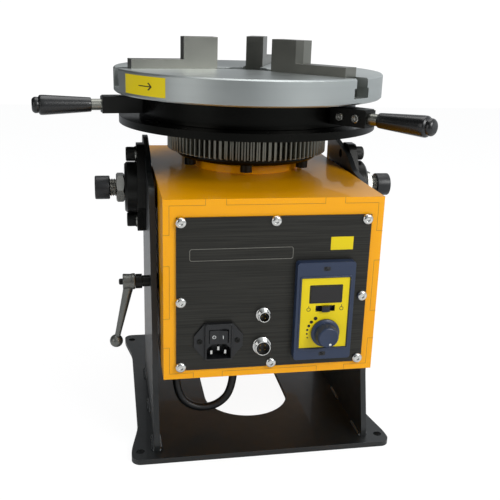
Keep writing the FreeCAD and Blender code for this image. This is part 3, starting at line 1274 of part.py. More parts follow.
base_plate()
for label, hand in HANDS:
    upright(label + "_upright", hand)
    trunnion_knob(label + "_knob", hand)
for plural, maker in (("trunnion_hubs", trunnion_hub), ("trunnion_bushes", trunnion_bush),
                      ("trunnion_studs", trunnion_stud), ("trunnion_bosses", trunnion_boss),
                      ("thrust_washers", thrust_washer), ("trunnion_nuts", trunnion_nut)):
    group(plural, [maker(f"{label}_{maker.__name__}", hand) for label, hand in HANDS])
hub_screws()
clamp_parts()
head_box()
spindle_group()
group("table_screws", [table_drive(), back_flange()])
chuck_body()
scroll_ring()
handles = []
for jaw_number, jaw_turn in enumerate(jaw_angles(), 1):
    jaw(jaw_number, jaw_turn)
    handles.append(handle(jaw_number, jaw_turn + worth("handle_angle") - worth("jaw_angle")))
for plural, members in zip(("handle_lugs", "handle_links", "handle_grips"), zip(*handles)):
    group(plural, list(members))
control_panel()
power_inlet()
panel_plugs()
speed_controller()
group("cable_glands", [gland("left_gland", GLAND_LEFT), gland("right_gland", GLAND_RIGHT)])
loop_cable()

doc.recompute()
for thing in doc.Objects:
    if "Invalid" in thing.State or "Error" in thing.State:
        raise ValueError(f"{thing.Name} ({thing.Label}) failed: {thing.State}")
os.makedirs("parts", exist_ok=True)
for node in nodes:
    shape = node.Shape
    if shape.isNull() or not shape.isValid():
        raise ValueError(f"{node.Label} has no valid shape")
    shape.exportStep(f"parts/{node.Label}.step")
print(len(nodes), "sub-parts")
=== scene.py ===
"""Looks for the bench welding positioner: camera, light, materials and the detailed visual pieces.

Row frame: +X right, +Y back, +Z up, the origin in the middle of the base's underside. Sizes below
are millimetres; points become metres where a mesh or curve is made.
"""
import bmesh
import bpy
import math
import numpy as np
from mathutils import Matrix, Vector


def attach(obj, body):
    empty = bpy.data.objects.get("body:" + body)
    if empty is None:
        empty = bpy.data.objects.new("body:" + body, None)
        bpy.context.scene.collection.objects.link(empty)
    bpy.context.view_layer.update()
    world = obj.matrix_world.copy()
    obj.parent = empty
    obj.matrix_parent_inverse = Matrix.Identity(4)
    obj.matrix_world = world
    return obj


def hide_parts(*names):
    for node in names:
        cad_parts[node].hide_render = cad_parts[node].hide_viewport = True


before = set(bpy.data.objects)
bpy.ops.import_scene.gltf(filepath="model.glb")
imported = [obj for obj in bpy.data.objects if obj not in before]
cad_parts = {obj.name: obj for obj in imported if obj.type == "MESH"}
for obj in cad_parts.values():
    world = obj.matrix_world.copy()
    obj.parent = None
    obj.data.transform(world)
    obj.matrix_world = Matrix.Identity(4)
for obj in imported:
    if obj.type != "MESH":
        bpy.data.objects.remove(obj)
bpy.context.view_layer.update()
MM = 0.001
MERGE_DISTANCE = 0.002 * MM       # points nearer than this are one
SHARP_EDGE = math.radians(35)     # edges that turn by more stay sharp
LEFT, RIGHT, FRONT = (-1, 0, 0), (1, 0, 0), (0, -1, 0)

# Places shared by several pieces.
TILT = (-3.5, 262.5)              # tilt axis: y, z
INNER, OUTER, HUB_END = 112, 118, 140.5   # faces of the uprights and end of the hubs
HUB_FLANGE, HUB_WASHER, HUB_SCREW_OFFSET = 9, 1.6, 38
STUD_START = 83
STUD_END, KNOB_START, KNOB_END = 168, 157, 173.6
SPINDLE_Y = 5
HEAD_TOP = 287
PANEL_FACE = -167
BEZEL_X, INLET_X = 51.1, -54.6
BEZEL_FRONT = PANEL_FACE - 9      # front of the controller's frame
FACE_FRONT = BEZEL_FRONT + 0.6    # front of its yellow face, set back in the frame
DIAL = (BEZEL_X + 1.7, HEAD_TOP - 137.5)   # middle of the speed dial: x, z
INLET_FRONT, INLET_MIDDLE = PANEL_FACE - 5, HEAD_TOP - 144.2
CLAMP_AXIS = (-95, 182)           # axis of the tilt clamp: y, z
CHUCK_RADIUS = 150
HANDLE_ANGLES, HANDLE_HEIGHT = (-52, 68, 188), 356.8
BASE_TOP = 6
GLANDS, GLAND_Y, GLAND_LOW = (-90, -24.4), -88, 76

# ---------------------------------------------------------------- camera

PITCH, YAW, ROLL = math.radians(17.67), math.radians(11.0), math.radians(-1.78)
LENS, SENSOR = 53.1, 36.0
PLACE = Vector((-0.15482, -0.83444, 0.45291))


def aim_camera():
    """A camera looking down by the pitch and right by the yaw, rolled about its line of sight."""
    data = bpy.data.cameras.new("camera")
    data.lens, data.sensor_width = LENS, SENSOR
    data.clip_start, data.clip_end = 0.01, 20
    camera = bpy.data.objects.new("camera", data)
    bpy.context.scene.collection.objects.link(camera)
    ahead = Vector((math.sin(YAW) * math.cos(PITCH), math.cos(YAW) * math.cos(PITCH), -math.sin(PITCH)))
    right = Vector((math.cos(YAW), -math.sin(YAW), 0))
    down = ahead.cross(right)
    across = math.cos(ROLL) * right + math.sin(ROLL) * down
    under = -math.sin(ROLL) * right + math.cos(ROLL) * down
    turn = Matrix((across, -under, -ahead)).transposed().to_4x4()
    camera.matrix_world = Matrix.Translation(PLACE) @ turn
    bpy.context.scene.camera = camera
    bpy.context.scene.view_settings.view_transform = "Standard"


# ---------------------------------------------------------------- materials

def linear(code):
    """Scene-linear colour from a hex sRGB code."""
    parts = [int(code[i:i + 2], 16) / 255 for i in (1, 3, 5)]
    return tuple(c / 12.92 if c <= 0.04045 else ((c + 0.055) / 1.055) ** 2.4 for c in parts) + (1.0,)


def add(tree, kind, inputs=None, **settings):
    """Add a shader node: settings are its properties; an input takes a value or another node's output."""
    node = tree.nodes.new("ShaderNode" + kind)
    for name, value in settings.items():
        setattr(node, name, value)
    for name, value in (inputs or {}).items():
        if isinstance(value, bpy.types.NodeSocket):
            tree.links.new(value, node.inputs[name])
        else:
            node.inputs[name].default_value = value
    return node


def blank_material(name):
    """A new material with only its shader and output, and the object coordinates that patterns use."""
    material = bpy.data.materials.new(name)
    material.use_nodes = True
    tree = material.node_tree
    return material, tree, tree.nodes["Principled BSDF"], add(tree, "TexCoord").outputs["Object"]


def tone(tree, place, color, drift, size_mm=40.0):
    """The base colour, lighter and darker by a share in soft clouds of about the given size."""
    base = linear(color)
    low = tuple(c * (1 - drift) for c in base[:3]) + (1.0,)
    high = tuple(min(1.0, c * (1 + drift)) for c in base[:3]) + (1.0,)
    cloud = add(tree, "TexNoise", {"Vector": place, "Scale": 1000 / size_mm, "Detail": 4.0})
    return add(tree, "Mix", {0: cloud.outputs["Fac"], 6: low, 7: high}, data_type="RGBA").outputs[2]


def roughness(tree, place, rough, size_mm=12.0):
    """A roughness that wavers by a few hundredths, as handling and wiping leave it."""
    cloud = add(tree, "TexNoise", {"Vector": place, "Scale": 1000 / size_mm, "Detail": 3.0})
    spread = add(tree, "MapRange", {"Value": cloud.outputs["Fac"], "To Min": max(0.02, rough - 0.06),
                                    "To Max": rough + 0.08})
    return spread.outputs["Result"]


def worked(tree, height, depth_mm, edge_mm):
    """A normal with softened edges of the given radius and a bump of the given depth."""
    normal = add(tree, "Bevel", {"Radius": edge_mm * MM}, samples=4).outputs["Normal"]
    if height is None:
        return normal
    bump = add(tree, "Bump", {"Height": height, "Distance": depth_mm * MM, "Normal": normal})
    return bump.outputs["Normal"]


def surface(name, color, rough, metal=0.0, coat=0.0, drift=0.05, grain_mm=2.0, depth_mm=0.0, edge_mm=0.4,
            shine=0.5):
    """A finish with drifting tone and gloss, soft edges and a fine grain of the given size and depth."""
    material, tree, shader, place = blank_material(name)
    shader.inputs["Metallic"].default_value = metal
    shader.inputs["Coat Weight"].default_value = coat
    shader.inputs["Coat Roughness"].default_value = 0.04
    shader.inputs["Specular IOR Level"].default_value = shine
    tree.links.new(tone(tree, place, color, drift), shader.inputs["Base Color"])
    tree.links.new(roughness(tree, place, rough), shader.inputs["Roughness"])
    height = None
    if depth_mm:
        grain = add(tree, "TexNoise", {"Vector": place, "Scale": 1000 / grain_mm, "Detail": 3.0})
        height = grain.outputs["Fac"]
    tree.links.new(worked(tree, height, depth_mm, edge_mm), shader.inputs["Normal"])
    return material


def brushed_panel():
    """Black anodised sheet, brushed from side to side: long streaks change its tone and its gloss."""
    material, tree, shader, place = blank_material("brushed black anodised sheet")
    lines = add(tree, "Mapping", {"Vector": place, "Scale": (0.012, 1.0, 1.0)}).outputs["Vector"]
    streak = add(tree, "TexNoise", {"Vector": lines, "Scale": 1100.0, "Detail": 4.0}).outputs["Fac"]
    color = add(tree, "Mix", {0: streak, 6: linear("#080808"), 7: linear("#44433e")}, data_type="RGBA")
    rough = add(tree, "MapRange", {"Value": streak, "To Min": 0.3, "To Max": 0.5}).outputs["Result"]
    shader.inputs["Metallic"].default_value = 0.7
    tree.links.new(color.outputs[2], shader.inputs["Base Color"])
    tree.links.new(rough, shader.inputs["Roughness"])
    tree.links.new(worked(tree, streak, 0.02, 0.3), shader.inputs["Normal"])
    return material


def turned_metal(name, color, rough, depth_mm=0.012, drift=0.1):
    """Lathe-turned metal: fine rings whose phase is the distance from the spindle plus the height."""
    material, tree, shader, place = blank_material(name)
    parts = add(tree, "SeparateXYZ", {0: place}).outputs
    aside = add(tree, "Math", {0: parts["Y"], 1: SPINDLE_Y * MM}, operation="SUBTRACT").outputs[0]
    flat = add(tree, "CombineXYZ", {0: parts["X"], 1: aside}).outputs[0]
    away = add(tree, "VectorMath", {0: flat}, operation="LENGTH").outputs["Value"]
    phase = add(tree, "Math", {0: away, 1: parts["Z"]}, operation="ADD").outputs[0]
    ring = add(tree, "TexNoise", {"W": phase, "Scale": 2200.0, "Detail": 2.0}, noise_dimensions="1D")
    band = add(tree, "TexNoise", {"W": phase, "Scale": 90.0, "Detail": 3.0}, noise_dimensions="1D")
    base = linear(color)
    dark = tuple(c * (1 - drift) for c in base[:3]) + (1.0,)
    shade = add(tree, "Mix", {0: band.outputs["Fac"], 6: dark, 7: base}, data_type="RGBA").outputs[2]
    shader.inputs["Metallic"].default_value = 1.0
    shader.inputs["Anisotropic"].default_value = 0.4
    tree.links.new(shade, shader.inputs["Base Color"])
    tree.links.new(roughness(tree, place, rough, 30.0), shader.inputs["Roughness"])
    tree.links.new(worked(tree, ring.outputs["Fac"], depth_mm, 0.5), shader.inputs["Normal"])
    return material


FINISHES = {
    "yellow_paint": surface("yellow enamel", "#ffac00", 0.3, coat=0.45, grain_mm=3.0, depth_mm=0.006,
                            edge_mm=0.9, shine=0.1),
    "black_paint": surface("black enamel on plate", "#101313", 0.4, coat=0.2, grain_mm=3.0, depth_mm=0.03,
                           edge_mm=0.7),
    "black_steel": surface("black oxide steel", "#1b1b19", 0.3, metal=0.7, grain_mm=1.0, depth_mm=0.01),
    "black_turned": turned_metal("turned black oxide steel", "#1f1f1d", 0.24),
    "bright_steel": surface("ground steel", "#83837c", 0.3, metal=1.0, drift=0.12, grain_mm=1.2,
                            depth_mm=0.02, edge_mm=0.5),
    "gear_steel": surface("cut gear steel", "#74736b", 0.22, metal=1.0, drift=0.1, edge_mm=0.25),
    "zinc": surface("zinc-plated steel", "#96958f", 0.26, metal=1.0, edge_mm=0.3),
    "die_cast": surface("grey die-cast zinc", "#71726e", 0.36, metal=0.8, grain_mm=1.5,
                        depth_mm=0.03, edge_mm=0.5),
    "chuck_aluminium": turned_metal("turned aluminium", "#bcc1bf", 0.36),
    "bronze": surface("sintered bronze", "#9a6b3c", 0.35, metal=1.0),
    "motor_metal": surface("painted motor case", "#26292b", 0.5, grain_mm=1.5, depth_mm=0.03),
    "black_plastic": surface("black moulded plastic", "#141517", 0.38, grain_mm=0.6, depth_mm=0.01,
                             edge_mm=0.35),
    "gloss_black_plastic": surface("polished phenolic", "#090a0a", 0.26, coat=0.15, edge_mm=0.4),
    "panel_black": brushed_panel(),
    "navy_plastic": surface("navy moulded plastic", "#22304a", 0.34, grain_mm=0.6, depth_mm=0.015,
                            edge_mm=0.5),
    "yellow_label": surface("yellow printed film", "#ecd20c", 0.35, drift=0.03, shine=0.3),
    "display_dark": surface("smoked display window", "#151212", 0.12, coat=0.3, shine=0.3),
    "chrome": surface("bright nickel plate", "#d2d2ce", 0.09, metal=1.0, edge_mm=0.2),
    "cable_rubber": surface("black cable rubber", "#101112", 0.42, grain_mm=0.8, depth_mm=0.02),
    "black_ink": surface("black printing ink", "#14120c", 0.4, drift=0.02, edge_mm=0.02),
    "white_ink": surface("white printing ink", "#dfe0dd", 0.45, drift=0.02, edge_mm=0.02),
    "engraving": surface("engraved bare line", "#8d8b83", 0.45, metal=0.6, drift=0.05, edge_mm=0.02),
    # seam: a darker yellow that is painted shade, standing for the shadow in the hairline gaps between the
    # head's plates
    "seam": surface("painted shade in a joint's seam", "#a06c06", 0.5, drift=0.1, edge_mm=0.02),
    "weld": surface("painted weld bead", "#1c1f1f", 0.22, coat=0.6, grain_mm=1.0, depth_mm=0.08,
                    edge_mm=0.1),
    "brass": surface("brass contact", "#c09a4a", 0.25, metal=1.0, edge_mm=0.1),
}

SLOTS = {
    "yellow_paint": "top_plate bottom_plate front_plate back_plate left_plate right_plate trunnion_bosses"
                    " spindle_housing",
    "black_paint": "left_upright right_upright base_plate",
    "black_steel": "trunnion_hubs hub_screws table_screws clamp_stud clamp_sleeve handle_lugs lever_screw"
                   " spindle_locknut",
    "black_turned": "back_flange scroll_ring gear_clamp_ring",
    "bright_steel": "spindle jaw_1 jaw_2 jaw_3 bearing_cones bearing_cups bearing_cover handle_links"
                    " output_shaft",
    "gear_steel": "table_gear drive_pinion",
    "zinc": "hub_washers trunnion_studs trunnion_nuts",
    "die_cast": "clamp_lever lever_ball",
    "chuck_aluminium": "chuck_body",
    "bronze": "thrust_washers trunnion_bushes",
    "motor_metal": "drive_motor gearhead",
    "black_plastic": "inlet_housing power_rocker cable_glands socket_inserts direction_switch",
    "gloss_black_plastic": "left_knob right_knob handle_grips",
    "panel_black": "control_panel",
    "navy_plastic": "controller_bezel speed_dial",
    "yellow_label": "controller_face",
    "display_dark": "display_window",
    "chrome": "panel_sockets inlet_pins panel_screws",
    "cable_rubber": "loop_cable",
}


def dress(thing, finish):
    """Give an object one finish in place of any it has."""
    thing.data.materials.clear()
    thing.data.materials.append(FINISHES[finish])


def dress_nodes():
    for finish, members in SLOTS.items():
        for name in members.split():
            dress(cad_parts[name], finish)


# ---------------------------------------------------------------- mesh helpers

def facing(direction):
    """A matrix whose columns are right, up and the given outward direction, for a piece drawn about Z."""
    out = np.array(direction, float) / np.linalg.norm(direction)
    guide = (0, 1, 0) if abs(out[2]) > 0.99 else (0, 0, 1)
    right = np.cross(guide, out)
    right /= np.linalg.norm(right)
    return np.array([right, np.cross(out, right), out]).T


def circle(radius, height, count=48):
    """A ring of points: (radius cos a, radius sin a, height); the radius may change with the angle."""
    angle = 2 * np.pi * np.arange(count) / count
    reach = radius(angle) if callable(radius) else np.full(count, float(radius))
    return np.column_stack([reach * np.cos(angle), reach * np.sin(angle), np.full(count, float(height))])


def hexagon(flats):
    """Radius of a hexagon at an angle: half its width across flats over the cosine from the nearest flat."""
    return lambda angle: flats / 2 / np.cos((angle + np.pi / 6) % (np.pi / 3) - np.pi / 6)


def ribbed(radius, depth, ribs):
    """A radius that dips by a depth between ribs: radius - depth (1 - cos(ribs a)) / 2."""
    return lambda angle: radius - depth * (1 - np.cos(ribs * angle)) / 2


def rounded_box(width, height, corner, level, steps=4):
    """A ring round a rectangle about the middle: four quarter circles joined by straight runs."""
    turns = np.linspace(0, np.pi / 2, steps + 1)
    spots = []
    for quarter, (sx, sy) in enumerate(((1, 1), (-1, 1), (-1, -1), (1, -1))):
        middle = np.array([sx * (width / 2 - corner), sy * (height / 2 - corner)])
        for turn in turns + quarter * np.pi / 2:
            spots.append([*(middle + corner * np.array([math.cos(turn), math.sin(turn)])), level])
    return np.array(spots)


def soft(profile, radius, steps=4):
    """Round the inner corners of a line of points: each becomes a quadratic curve between near points."""
    spots = [np.array(p, float) for p in profile]
    line = [spots[0]]
    for before, corner, after in zip(spots, spots[1:], spots[2:]):
        back, on = before - corner, after - corner
        cut = min(radius, 0.45 * np.linalg.norm(back), 0.45 * np.linalg.norm(on))
        start, end = corner + back / np.linalg.norm(back) * cut, corner + on / np.linalg.norm(on) * cut
        for s in np.linspace(0, 1, steps + 1):
            line.append((1 - s) ** 2 * start + 2 * s * (1 - s) * corner + s ** 2 * end)
    return line + [spots[-1]]


def loft(rings, closed=False, caps=True):
    """Join rings of equal count by quads; closed joins the last to the first, caps fill the two ends."""
    count = len(rings[0])
    points = np.concatenate(rings)
    faces = []
    for i in range(len(rings) if closed else len(rings) - 1):
        low, high = i * count, (i + 1) % len(rings) * count
        for j in range(count):
            k = (j + 1) % count
            faces.append((low + j, low + k, high + k, high + j))
    if caps and not closed:
        faces.append(tuple(range(count))[::-1])
        faces.append(tuple(range(len(points) - count, len(points))))
    return points, faces


def lathe(profile, count=64, closed=False):
    """Revolve (radius, height) pairs about Z; a radius of 0 closes that end in a point."""
    return loft([circle(radius, height, count) for radius, height in profile], closed, caps=False)


def piece(name, parts, finish, body, turn=np.eye(3), shift=(0, 0, 0), nodes=()):
    """One mesh piece from (points, faces) parts: turned, shifted, merged and tied to its body."""
    points, faces, first = [], [], 0
    for part_points, part_faces in parts:
        points.append(part_points @ turn.T + np.array(shift, float))
        faces += [tuple(first + i for i in face) for face in part_faces]
        first += len(part_points)
    mesh = bpy.data.meshes.new(name)
    mesh.from_pydata((np.concatenate(points) * MM).tolist(), [], faces)
    shell = bmesh.new()
    shell.from_mesh(mesh)
    bmesh.ops.remove_doubles(shell, verts=shell.verts, dist=MERGE_DISTANCE)
    bmesh.ops.recalc_face_normals(shell, faces=shell.faces)
    shell.to_mesh(mesh)
    shell.free()
    mesh.shade_smooth()
    mesh.set_sharp_from_angle(angle=SHARP_EDGE)
    thing = bpy.data.objects.new(name, mesh)
    bpy.context.scene.collection.objects.link(thing)
    dress(thing, finish)
    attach(thing, body)
    if nodes:
        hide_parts(*nodes)
    return thing


def moved(part, turn=np.eye(3), shift=(0, 0, 0)):
    """A part's points turned and shifted, with its faces as they are."""
    return part[0] @ turn.T + np.array(shift, float), part[1]


# ---------------------------------------------------------------- screws

def cap_screw(head, height, socket, deep):
    """Socket cap screw head: a knurled cylinder with a chamfer and a hexagonal recess."""
    radius, count = head / 2, 144
    side = ribbed(radius, 0.35, 36)
    rings = [circle(0, 0, count), circle(side, 0, count), circle(side, height - 1.4, count),
             circle(radius - 0.3, height - 1.0, count), circle(radius - 0.3, height - 0.5, count),
             circle(radius - 0.9, height, count), circle(hexagon(socket + 0.5), height, count),
             circle(hexagon(socket), height - 0.3, count), circle(hexagon(socket), height - deep, count),
             circle(0, height - deep - 0.6, count)]
    return loft(rings, caps=False)


def button_screw(head, height, socket, deep):
    """Button head screw: a dome (a quarter of an ellipse) with a hexagonal recess."""
    count = 48
    top = 0.21 * head
    turns = np.linspace(0, np.pi / 2, 8)
    rim, rise = head / 2 - top, height - 0.5
    dome = [circle(top + rim * math.cos(t), 0.5 + rise * math.sin(t), count) for t in turns]
    rings = [circle(0, 0, count), circle(head / 2, 0, count)] + dome
    rings += [circle(hexagon(socket + 0.3), height, count), circle(hexagon(socket), height - 0.2, count),
              circle(hexagon(socket), height - deep, count), circle(0, height - deep - 0.3, count)]
    return loft(rings, caps=False)


def hub_screw_heads():
    """Four knurled cap screws on the hub flanges."""
    parts = []
    for side in (-1, 1):
        for offset in (-HUB_SCREW_OFFSET, HUB_SCREW_OFFSET):
            spot = (side * (OUTER + HUB_FLANGE + HUB_WASHER), TILT[0], TILT[1] + offset)
            parts.append(moved(cap_screw(16, 10, 8, 5), facing((side, 0, 0)), spot))
    piece("hub_screw_heads", parts, "black_steel", "base", nodes=["hub_screws"])


def panel_screw_heads():
    """Eight chromed button screws round the control panel."""
    parts = []
    for x, drops in ((-92, (22, 102.5, 172)), (0, (22, 172)), (92, (22, 102.5, 172))):
        for drop in drops:
            screw = button_screw(11, 3.3, 3.6, 1.6)
            parts.append(moved(screw, facing(FRONT), (x, PANEL_FACE, HEAD_TOP - drop)))
    piece("panel_screw_heads", parts, "chrome", "head", nodes=["panel_screws"])


# ---------------------------------------------------------------- trunnions

def threaded_studs():
    """Two M20 studs: the radius follows a rounded triangle wave of the height and angle, pitch 2.5."""
    pitch, crest, deep, count = 2.5, 10, 1.2, 48
    angle = 2 * np.pi * np.arange(count) / count
    heights = np.arange(float(STUD_START), STUD_END - 1.5, pitch / 8)
    rings = [circle(0, STUD_START, count), circle(8.6, STUD_START, count)]
    for height in heights:
        wave = np.abs((height / pitch - angle / (2 * np.pi)) % 1 * 2 - 1)
        reach = crest - deep * np.clip(wave * 1.3 - 0.15, 0, 1)
        rings.append(np.column_stack([reach * np.cos(angle), reach * np.sin(angle), np.full(count, height)]))
    rings += [circle(8.8, STUD_END - 1.2, count), circle(8.2, STUD_END, count), circle(0, STUD_END, count)]
    parts = [moved(loft(rings, caps=False), facing(side), (0, *TILT)) for side in (LEFT, RIGHT)]
    piece("threaded_studs", parts, "zinc", "head", nodes=["trunnion_studs"])


def trunnion_nuts():
    """Two hexagon nuts, with the corners turned off at both faces and a countersunk bore."""
    start, thick, flats = HUB_END + 0.3, 9.2, 30
    disc, slope = flats / 2 * 0.97, math.tan(math.radians(30))

    def corner(angle):
        """The hexagon with a flat upwards: turned by 30 degrees."""
        return hexagon(flats)(angle + np.pi / 6)

    def face(level, inward):
        """Height falls by tan 30 outside the inscribed circle, so the corners are chamfered."""
        ring = circle(corner, level, 96)
        ring[:, 2] -= inward * (np.hypot(ring[:, 0], ring[:, 1]) - disc) * slope
        return ring

    end = start + thick
    rings = [circle(10, start + 1, 96), circle(11, start, 96), circle(disc, start, 96), face(start, -1),
             face(end, 1), circle(disc, end, 96), circle(11, end, 96), circle(10, end - 1, 96)]
    parts = [moved(loft(rings, closed=True), facing(side), (0, *TILT)) for side in (LEFT, RIGHT)]
    piece("trunnion_nuts", parts, "zinc", "head", nodes=["trunnion_nuts"])


def trunnion_knob(name, side):
    """Turned knob with a rounded rim, a shallow dished face and the blind bore over the stud's end."""
    outline = [(13.25, KNOB_START), (13.25, KNOB_END), (8, KNOB_END), (0, KNOB_END - 0.8)]
    profile = [(10.1, STUD_END + 0.3), (10.1, KNOB_START)] + soft([(10.1, KNOB_START)] + outline, 1.8)
    piece(name, [lathe([(0, STUD_END + 0.3)] + profile)], "black_plastic", name,
          facing(side), (0, *TILT), nodes=[name])


# ---------------------------------------------------------------- clamp lever

def sleeve(start, end, profile, count=40):
    """A round bar from one point to another; the profile gives (share of the way, radius) pairs."""
    start, end = np.array(start, float), np.array(end, float)
    along = end - start
    length = np.linalg.norm(along)
    part = lathe([(radius, share * length) for share, radius in profile], count)
    return moved(part, facing(along / length), start)


def clamp_handle():
    """Die-cast lever: a waisted hub on the stud's axis, a splayed tapered arm and a ball at its end."""
    y, z = CLAMP_AXIS
    low, high, reach, splay = 133.3, 146.3, 62.5, 13
    level = high - 6
    root, tip = (-level, y, z - 5.5), (-level - splay, y, z - reach)
    hub = soft([(3.4, low), (8.5, low), (8.5, low + 3), (7.9, low + 5), (8.3, high), (3.4, high)], 1.2)
    parts = [moved(lathe([(3.3, low)] + hub + [(3.3, high)], closed=True), facing(LEFT), (0, y, z)),
             sleeve(root, tip, [(0, 0), (0, 5.4), (0.12, 4.9), (0.5, 4.0), (0.9, 3.1), (1, 3.0), (1, 0)])]
    piece("clamp_lever", parts, "die_cast", "clamp_handle", nodes=["clamp_lever"])
    run = np.array(tip) - np.array(root)
    ball = np.array(tip) + run / np.linalg.norm(run) * 5
    turns = np.linspace(math.acos(3.3 / 7), -math.pi / 2, 20)
    profile = [(7 * math.cos(t), 7 * math.sin(t)) for t in turns]
    profile = [(0, profile[0][1] - 1.0), (3.2, profile[0][1] - 1.0)] + profile
    piece("lever_ball", [lathe(profile, 40)], "die_cast", "clamp_handle", facing(-run), ball,
          nodes=["lever_ball"])


# ---------------------------------------------------------------- ring handles

def handle_grips():
    """Three tapered grips with a groove and a bead at the end, turned about their own radial lines."""
    outline = [(6, 176), (7.5, 176), (7.9, 181), (10.5, 225), (10.4, 229), (8.0, 230.4), (8.5, 231.6),
               (8.5, 234.5), (6.2, 237), (0, 237)]
    profile = [(6, 188)] + soft(outline, 2.2)
    parts = []
    for turn in HANDLE_ANGLES:
        angle = math.radians(turn)
        out = (math.cos(angle), math.sin(angle), 0)
        parts.append(moved(lathe([(0, 188)] + profile, 48), facing(out), (0, SPINDLE_Y, HANDLE_HEIGHT)))
    piece("handle_grips", parts, "gloss_black_plastic", "ring",
          nodes=["handle_grips"])


def lug_fittings():
    """On each lug a thin plate on top, and a cap screw in its flank that holds the link."""
    plates, screws = [], []
    for turn in HANDLE_ANGLES:
        angle = math.radians(turn)
        out = np.array((math.cos(angle), math.sin(angle), 0))
        side = np.array((math.sin(angle), -math.cos(angle), 0))
        middle = np.array((0, SPINDLE_Y, HANDLE_HEIGHT))
        cover = loft([rounded_box(18, 42, 1.5, 8.5), rounded_box(18, 42, 1.5, 9.2),
                      rounded_box(17, 41, 1.2, 9.5)])
        square = np.array([side, out, (0, 0, 1)]).T
        plates.append(moved(cover, square, middle + out * 143))
        screws.append(moved(cap_screw(9, 3.4, 4, 2), facing(side), middle + out * 135 + side * 9))
        screws.append(moved(cap_screw(9, 3.4, 4, 2), facing(side), middle + out * 154 + side * 9))
    piece("lug_plates", plates, "black_steel", "ring")
    piece("lug_screws", screws, "zinc", "ring")


# ---------------------------------------------------------------- control panel

def speed_dial():
    """Knob with a flat skirt, fine ribs on its waist and a light dot on its face."""
    start = 0.3 - FACE_FRONT
    rings = [circle(0, start - 5.5, 144), circle(2.9, start - 5.5, 144), circle(2.9, start, 144),
             circle(14.6, start, 144), circle(14.75, start + 0.4, 144), circle(14.75, start + 2.6, 144),
             circle(14.2, start + 3.2, 144), circle(ribbed(12.0, 0.6, 36), start + 3.8, 144),
             circle(ribbed(11.0, 0.6, 36), start + 13.4, 144), circle(10.2, start + 14.4, 144),
             circle(9.2, start + 15, 144), circle(8.6, start + 14.7, 144), circle(0, start + 14.7, 144)]
    spot = (DIAL[0], 0, DIAL[1])
    piece("speed_dial", [loft(rings, caps=False)], "navy_plastic", "dial", facing(FRONT),
          spot, nodes=["speed_dial"])
    toward = math.radians(-75)
    dot = lathe([(0, 0), (1.3, 0), (1.3, 0.3), (0.9, 0.5), (0, 0.5)], 24)
    at = (spot[0] + 7.6 * math.cos(toward), -(start + 14.4), spot[2] + 7.6 * math.sin(toward))
    piece("dial_dot", [dot], "white_ink", "dial", facing(FRONT), at)


def flat_mark(outline, thick=0.06):
    """A thin flat mark: its outline, raised by its thickness."""
    return loft([outline(0.0), outline(thick)])


def printed_marks():
    """Dots that grow round the dial, ring symbols beside the switch and a border round the display."""
    parts = []
    for i, degrees in enumerate((196, 183, 170, 156, 141, 124)):
        angle = math.radians(degrees)
        dot = flat_mark(lambda level, r=0.8 + 0.24 * i: circle(r, level, 20))
        spot = (DIAL[0] + 18.6 * math.cos(angle), FACE_FRONT, DIAL[1] + 18.6 * math.sin(angle))
        parts.append(moved(dot, facing(FRONT), spot))
    for x in (-16.5, 17.5):
        ring = lathe([(1.5, 0), (2.1, 0), (2.1, 0.06), (1.5, 0.06)], 24, closed=True)
        parts.append(moved(ring, facing(FRONT), (BEZEL_X + x, FACE_FRONT, HEAD_TOP - 112.2)))
    stem = flat_mark(lambda level: rounded_box(0.6, 2.2, 0.2, level))
    parts.append(moved(stem, facing(FRONT), (BEZEL_X - 16.5, FACE_FRONT, HEAD_TOP - 109.6)))
    parts.append(moved(stem, facing(FRONT), (BEZEL_X + 17.5, FACE_FRONT, HEAD_TOP - 109.0)))
    rings = [rounded_box(34, 19.4, 1, 0), rounded_box(34, 19.4, 1, 0.06), rounded_box(31.6, 16.8, 0.4, 0.06),
             rounded_box(31.6, 16.8, 0.4, 0)]
    border = loft(rings, closed=True)
    parts.append(moved(border, facing(FRONT), (BEZEL_X + 0.7, FACE_FRONT, HEAD_TOP - 96.2)))
    piece("printed_marks", parts, "black_ink", "head")


def controller_trim():
    """A raised frame round the yellow face, and a small screw above and below it, each on a flat dark patch
    that is painted shade for a notch in the frame.
    """
    rings = [rounded_box(53.4, 79.2, 2, 0), rounded_box(53.4, 79.2, 2, 0.5),
             rounded_box(52.6, 78.4, 1.6, 0.8), rounded_box(50.6, 76.2, 1, 0.8),
             rounded_box(49.8, 75.4, 0.8, 0)]
    frame_part = moved(loft(rings, closed=True), facing(FRONT), (BEZEL_X, BEZEL_FRONT, HEAD_TOP - 116.6))
    piece("controller_frame", [frame_part], "navy_plastic", "head")
    parts = []
    for drop in (69.5, 160.8):
        # the notch is not cut: a flat dark patch on the frame is painted shade where the recess would be
        notch = flat_mark(lambda level: rounded_box(7, 4.4, 1.2, level))
        parts.append(moved(notch, facing(FRONT), (BEZEL_X, BEZEL_FRONT, HEAD_TOP - drop)))
        screw = button_screw(3.6, 1.0, 1.4, 0.5)
        parts.append(moved(screw, facing(FRONT), (BEZEL_X, BEZEL_FRONT, HEAD_TOP - drop)))
    piece("controller_screws", parts, "black_plastic", "head")
    grip = [moved(loft([rounded_box(0.7, 4.6, 0.2, 0), rounded_box(0.5, 4.4, 0.2, 0.5)]), facing(FRONT),
                  (BEZEL_X + 0.7 + x, BEZEL_FRONT - 2.4, HEAD_TOP - 111.6)) for x in (-2, 0, 2)]
    piece("switch_ribs", grip, "navy_plastic", "slider")


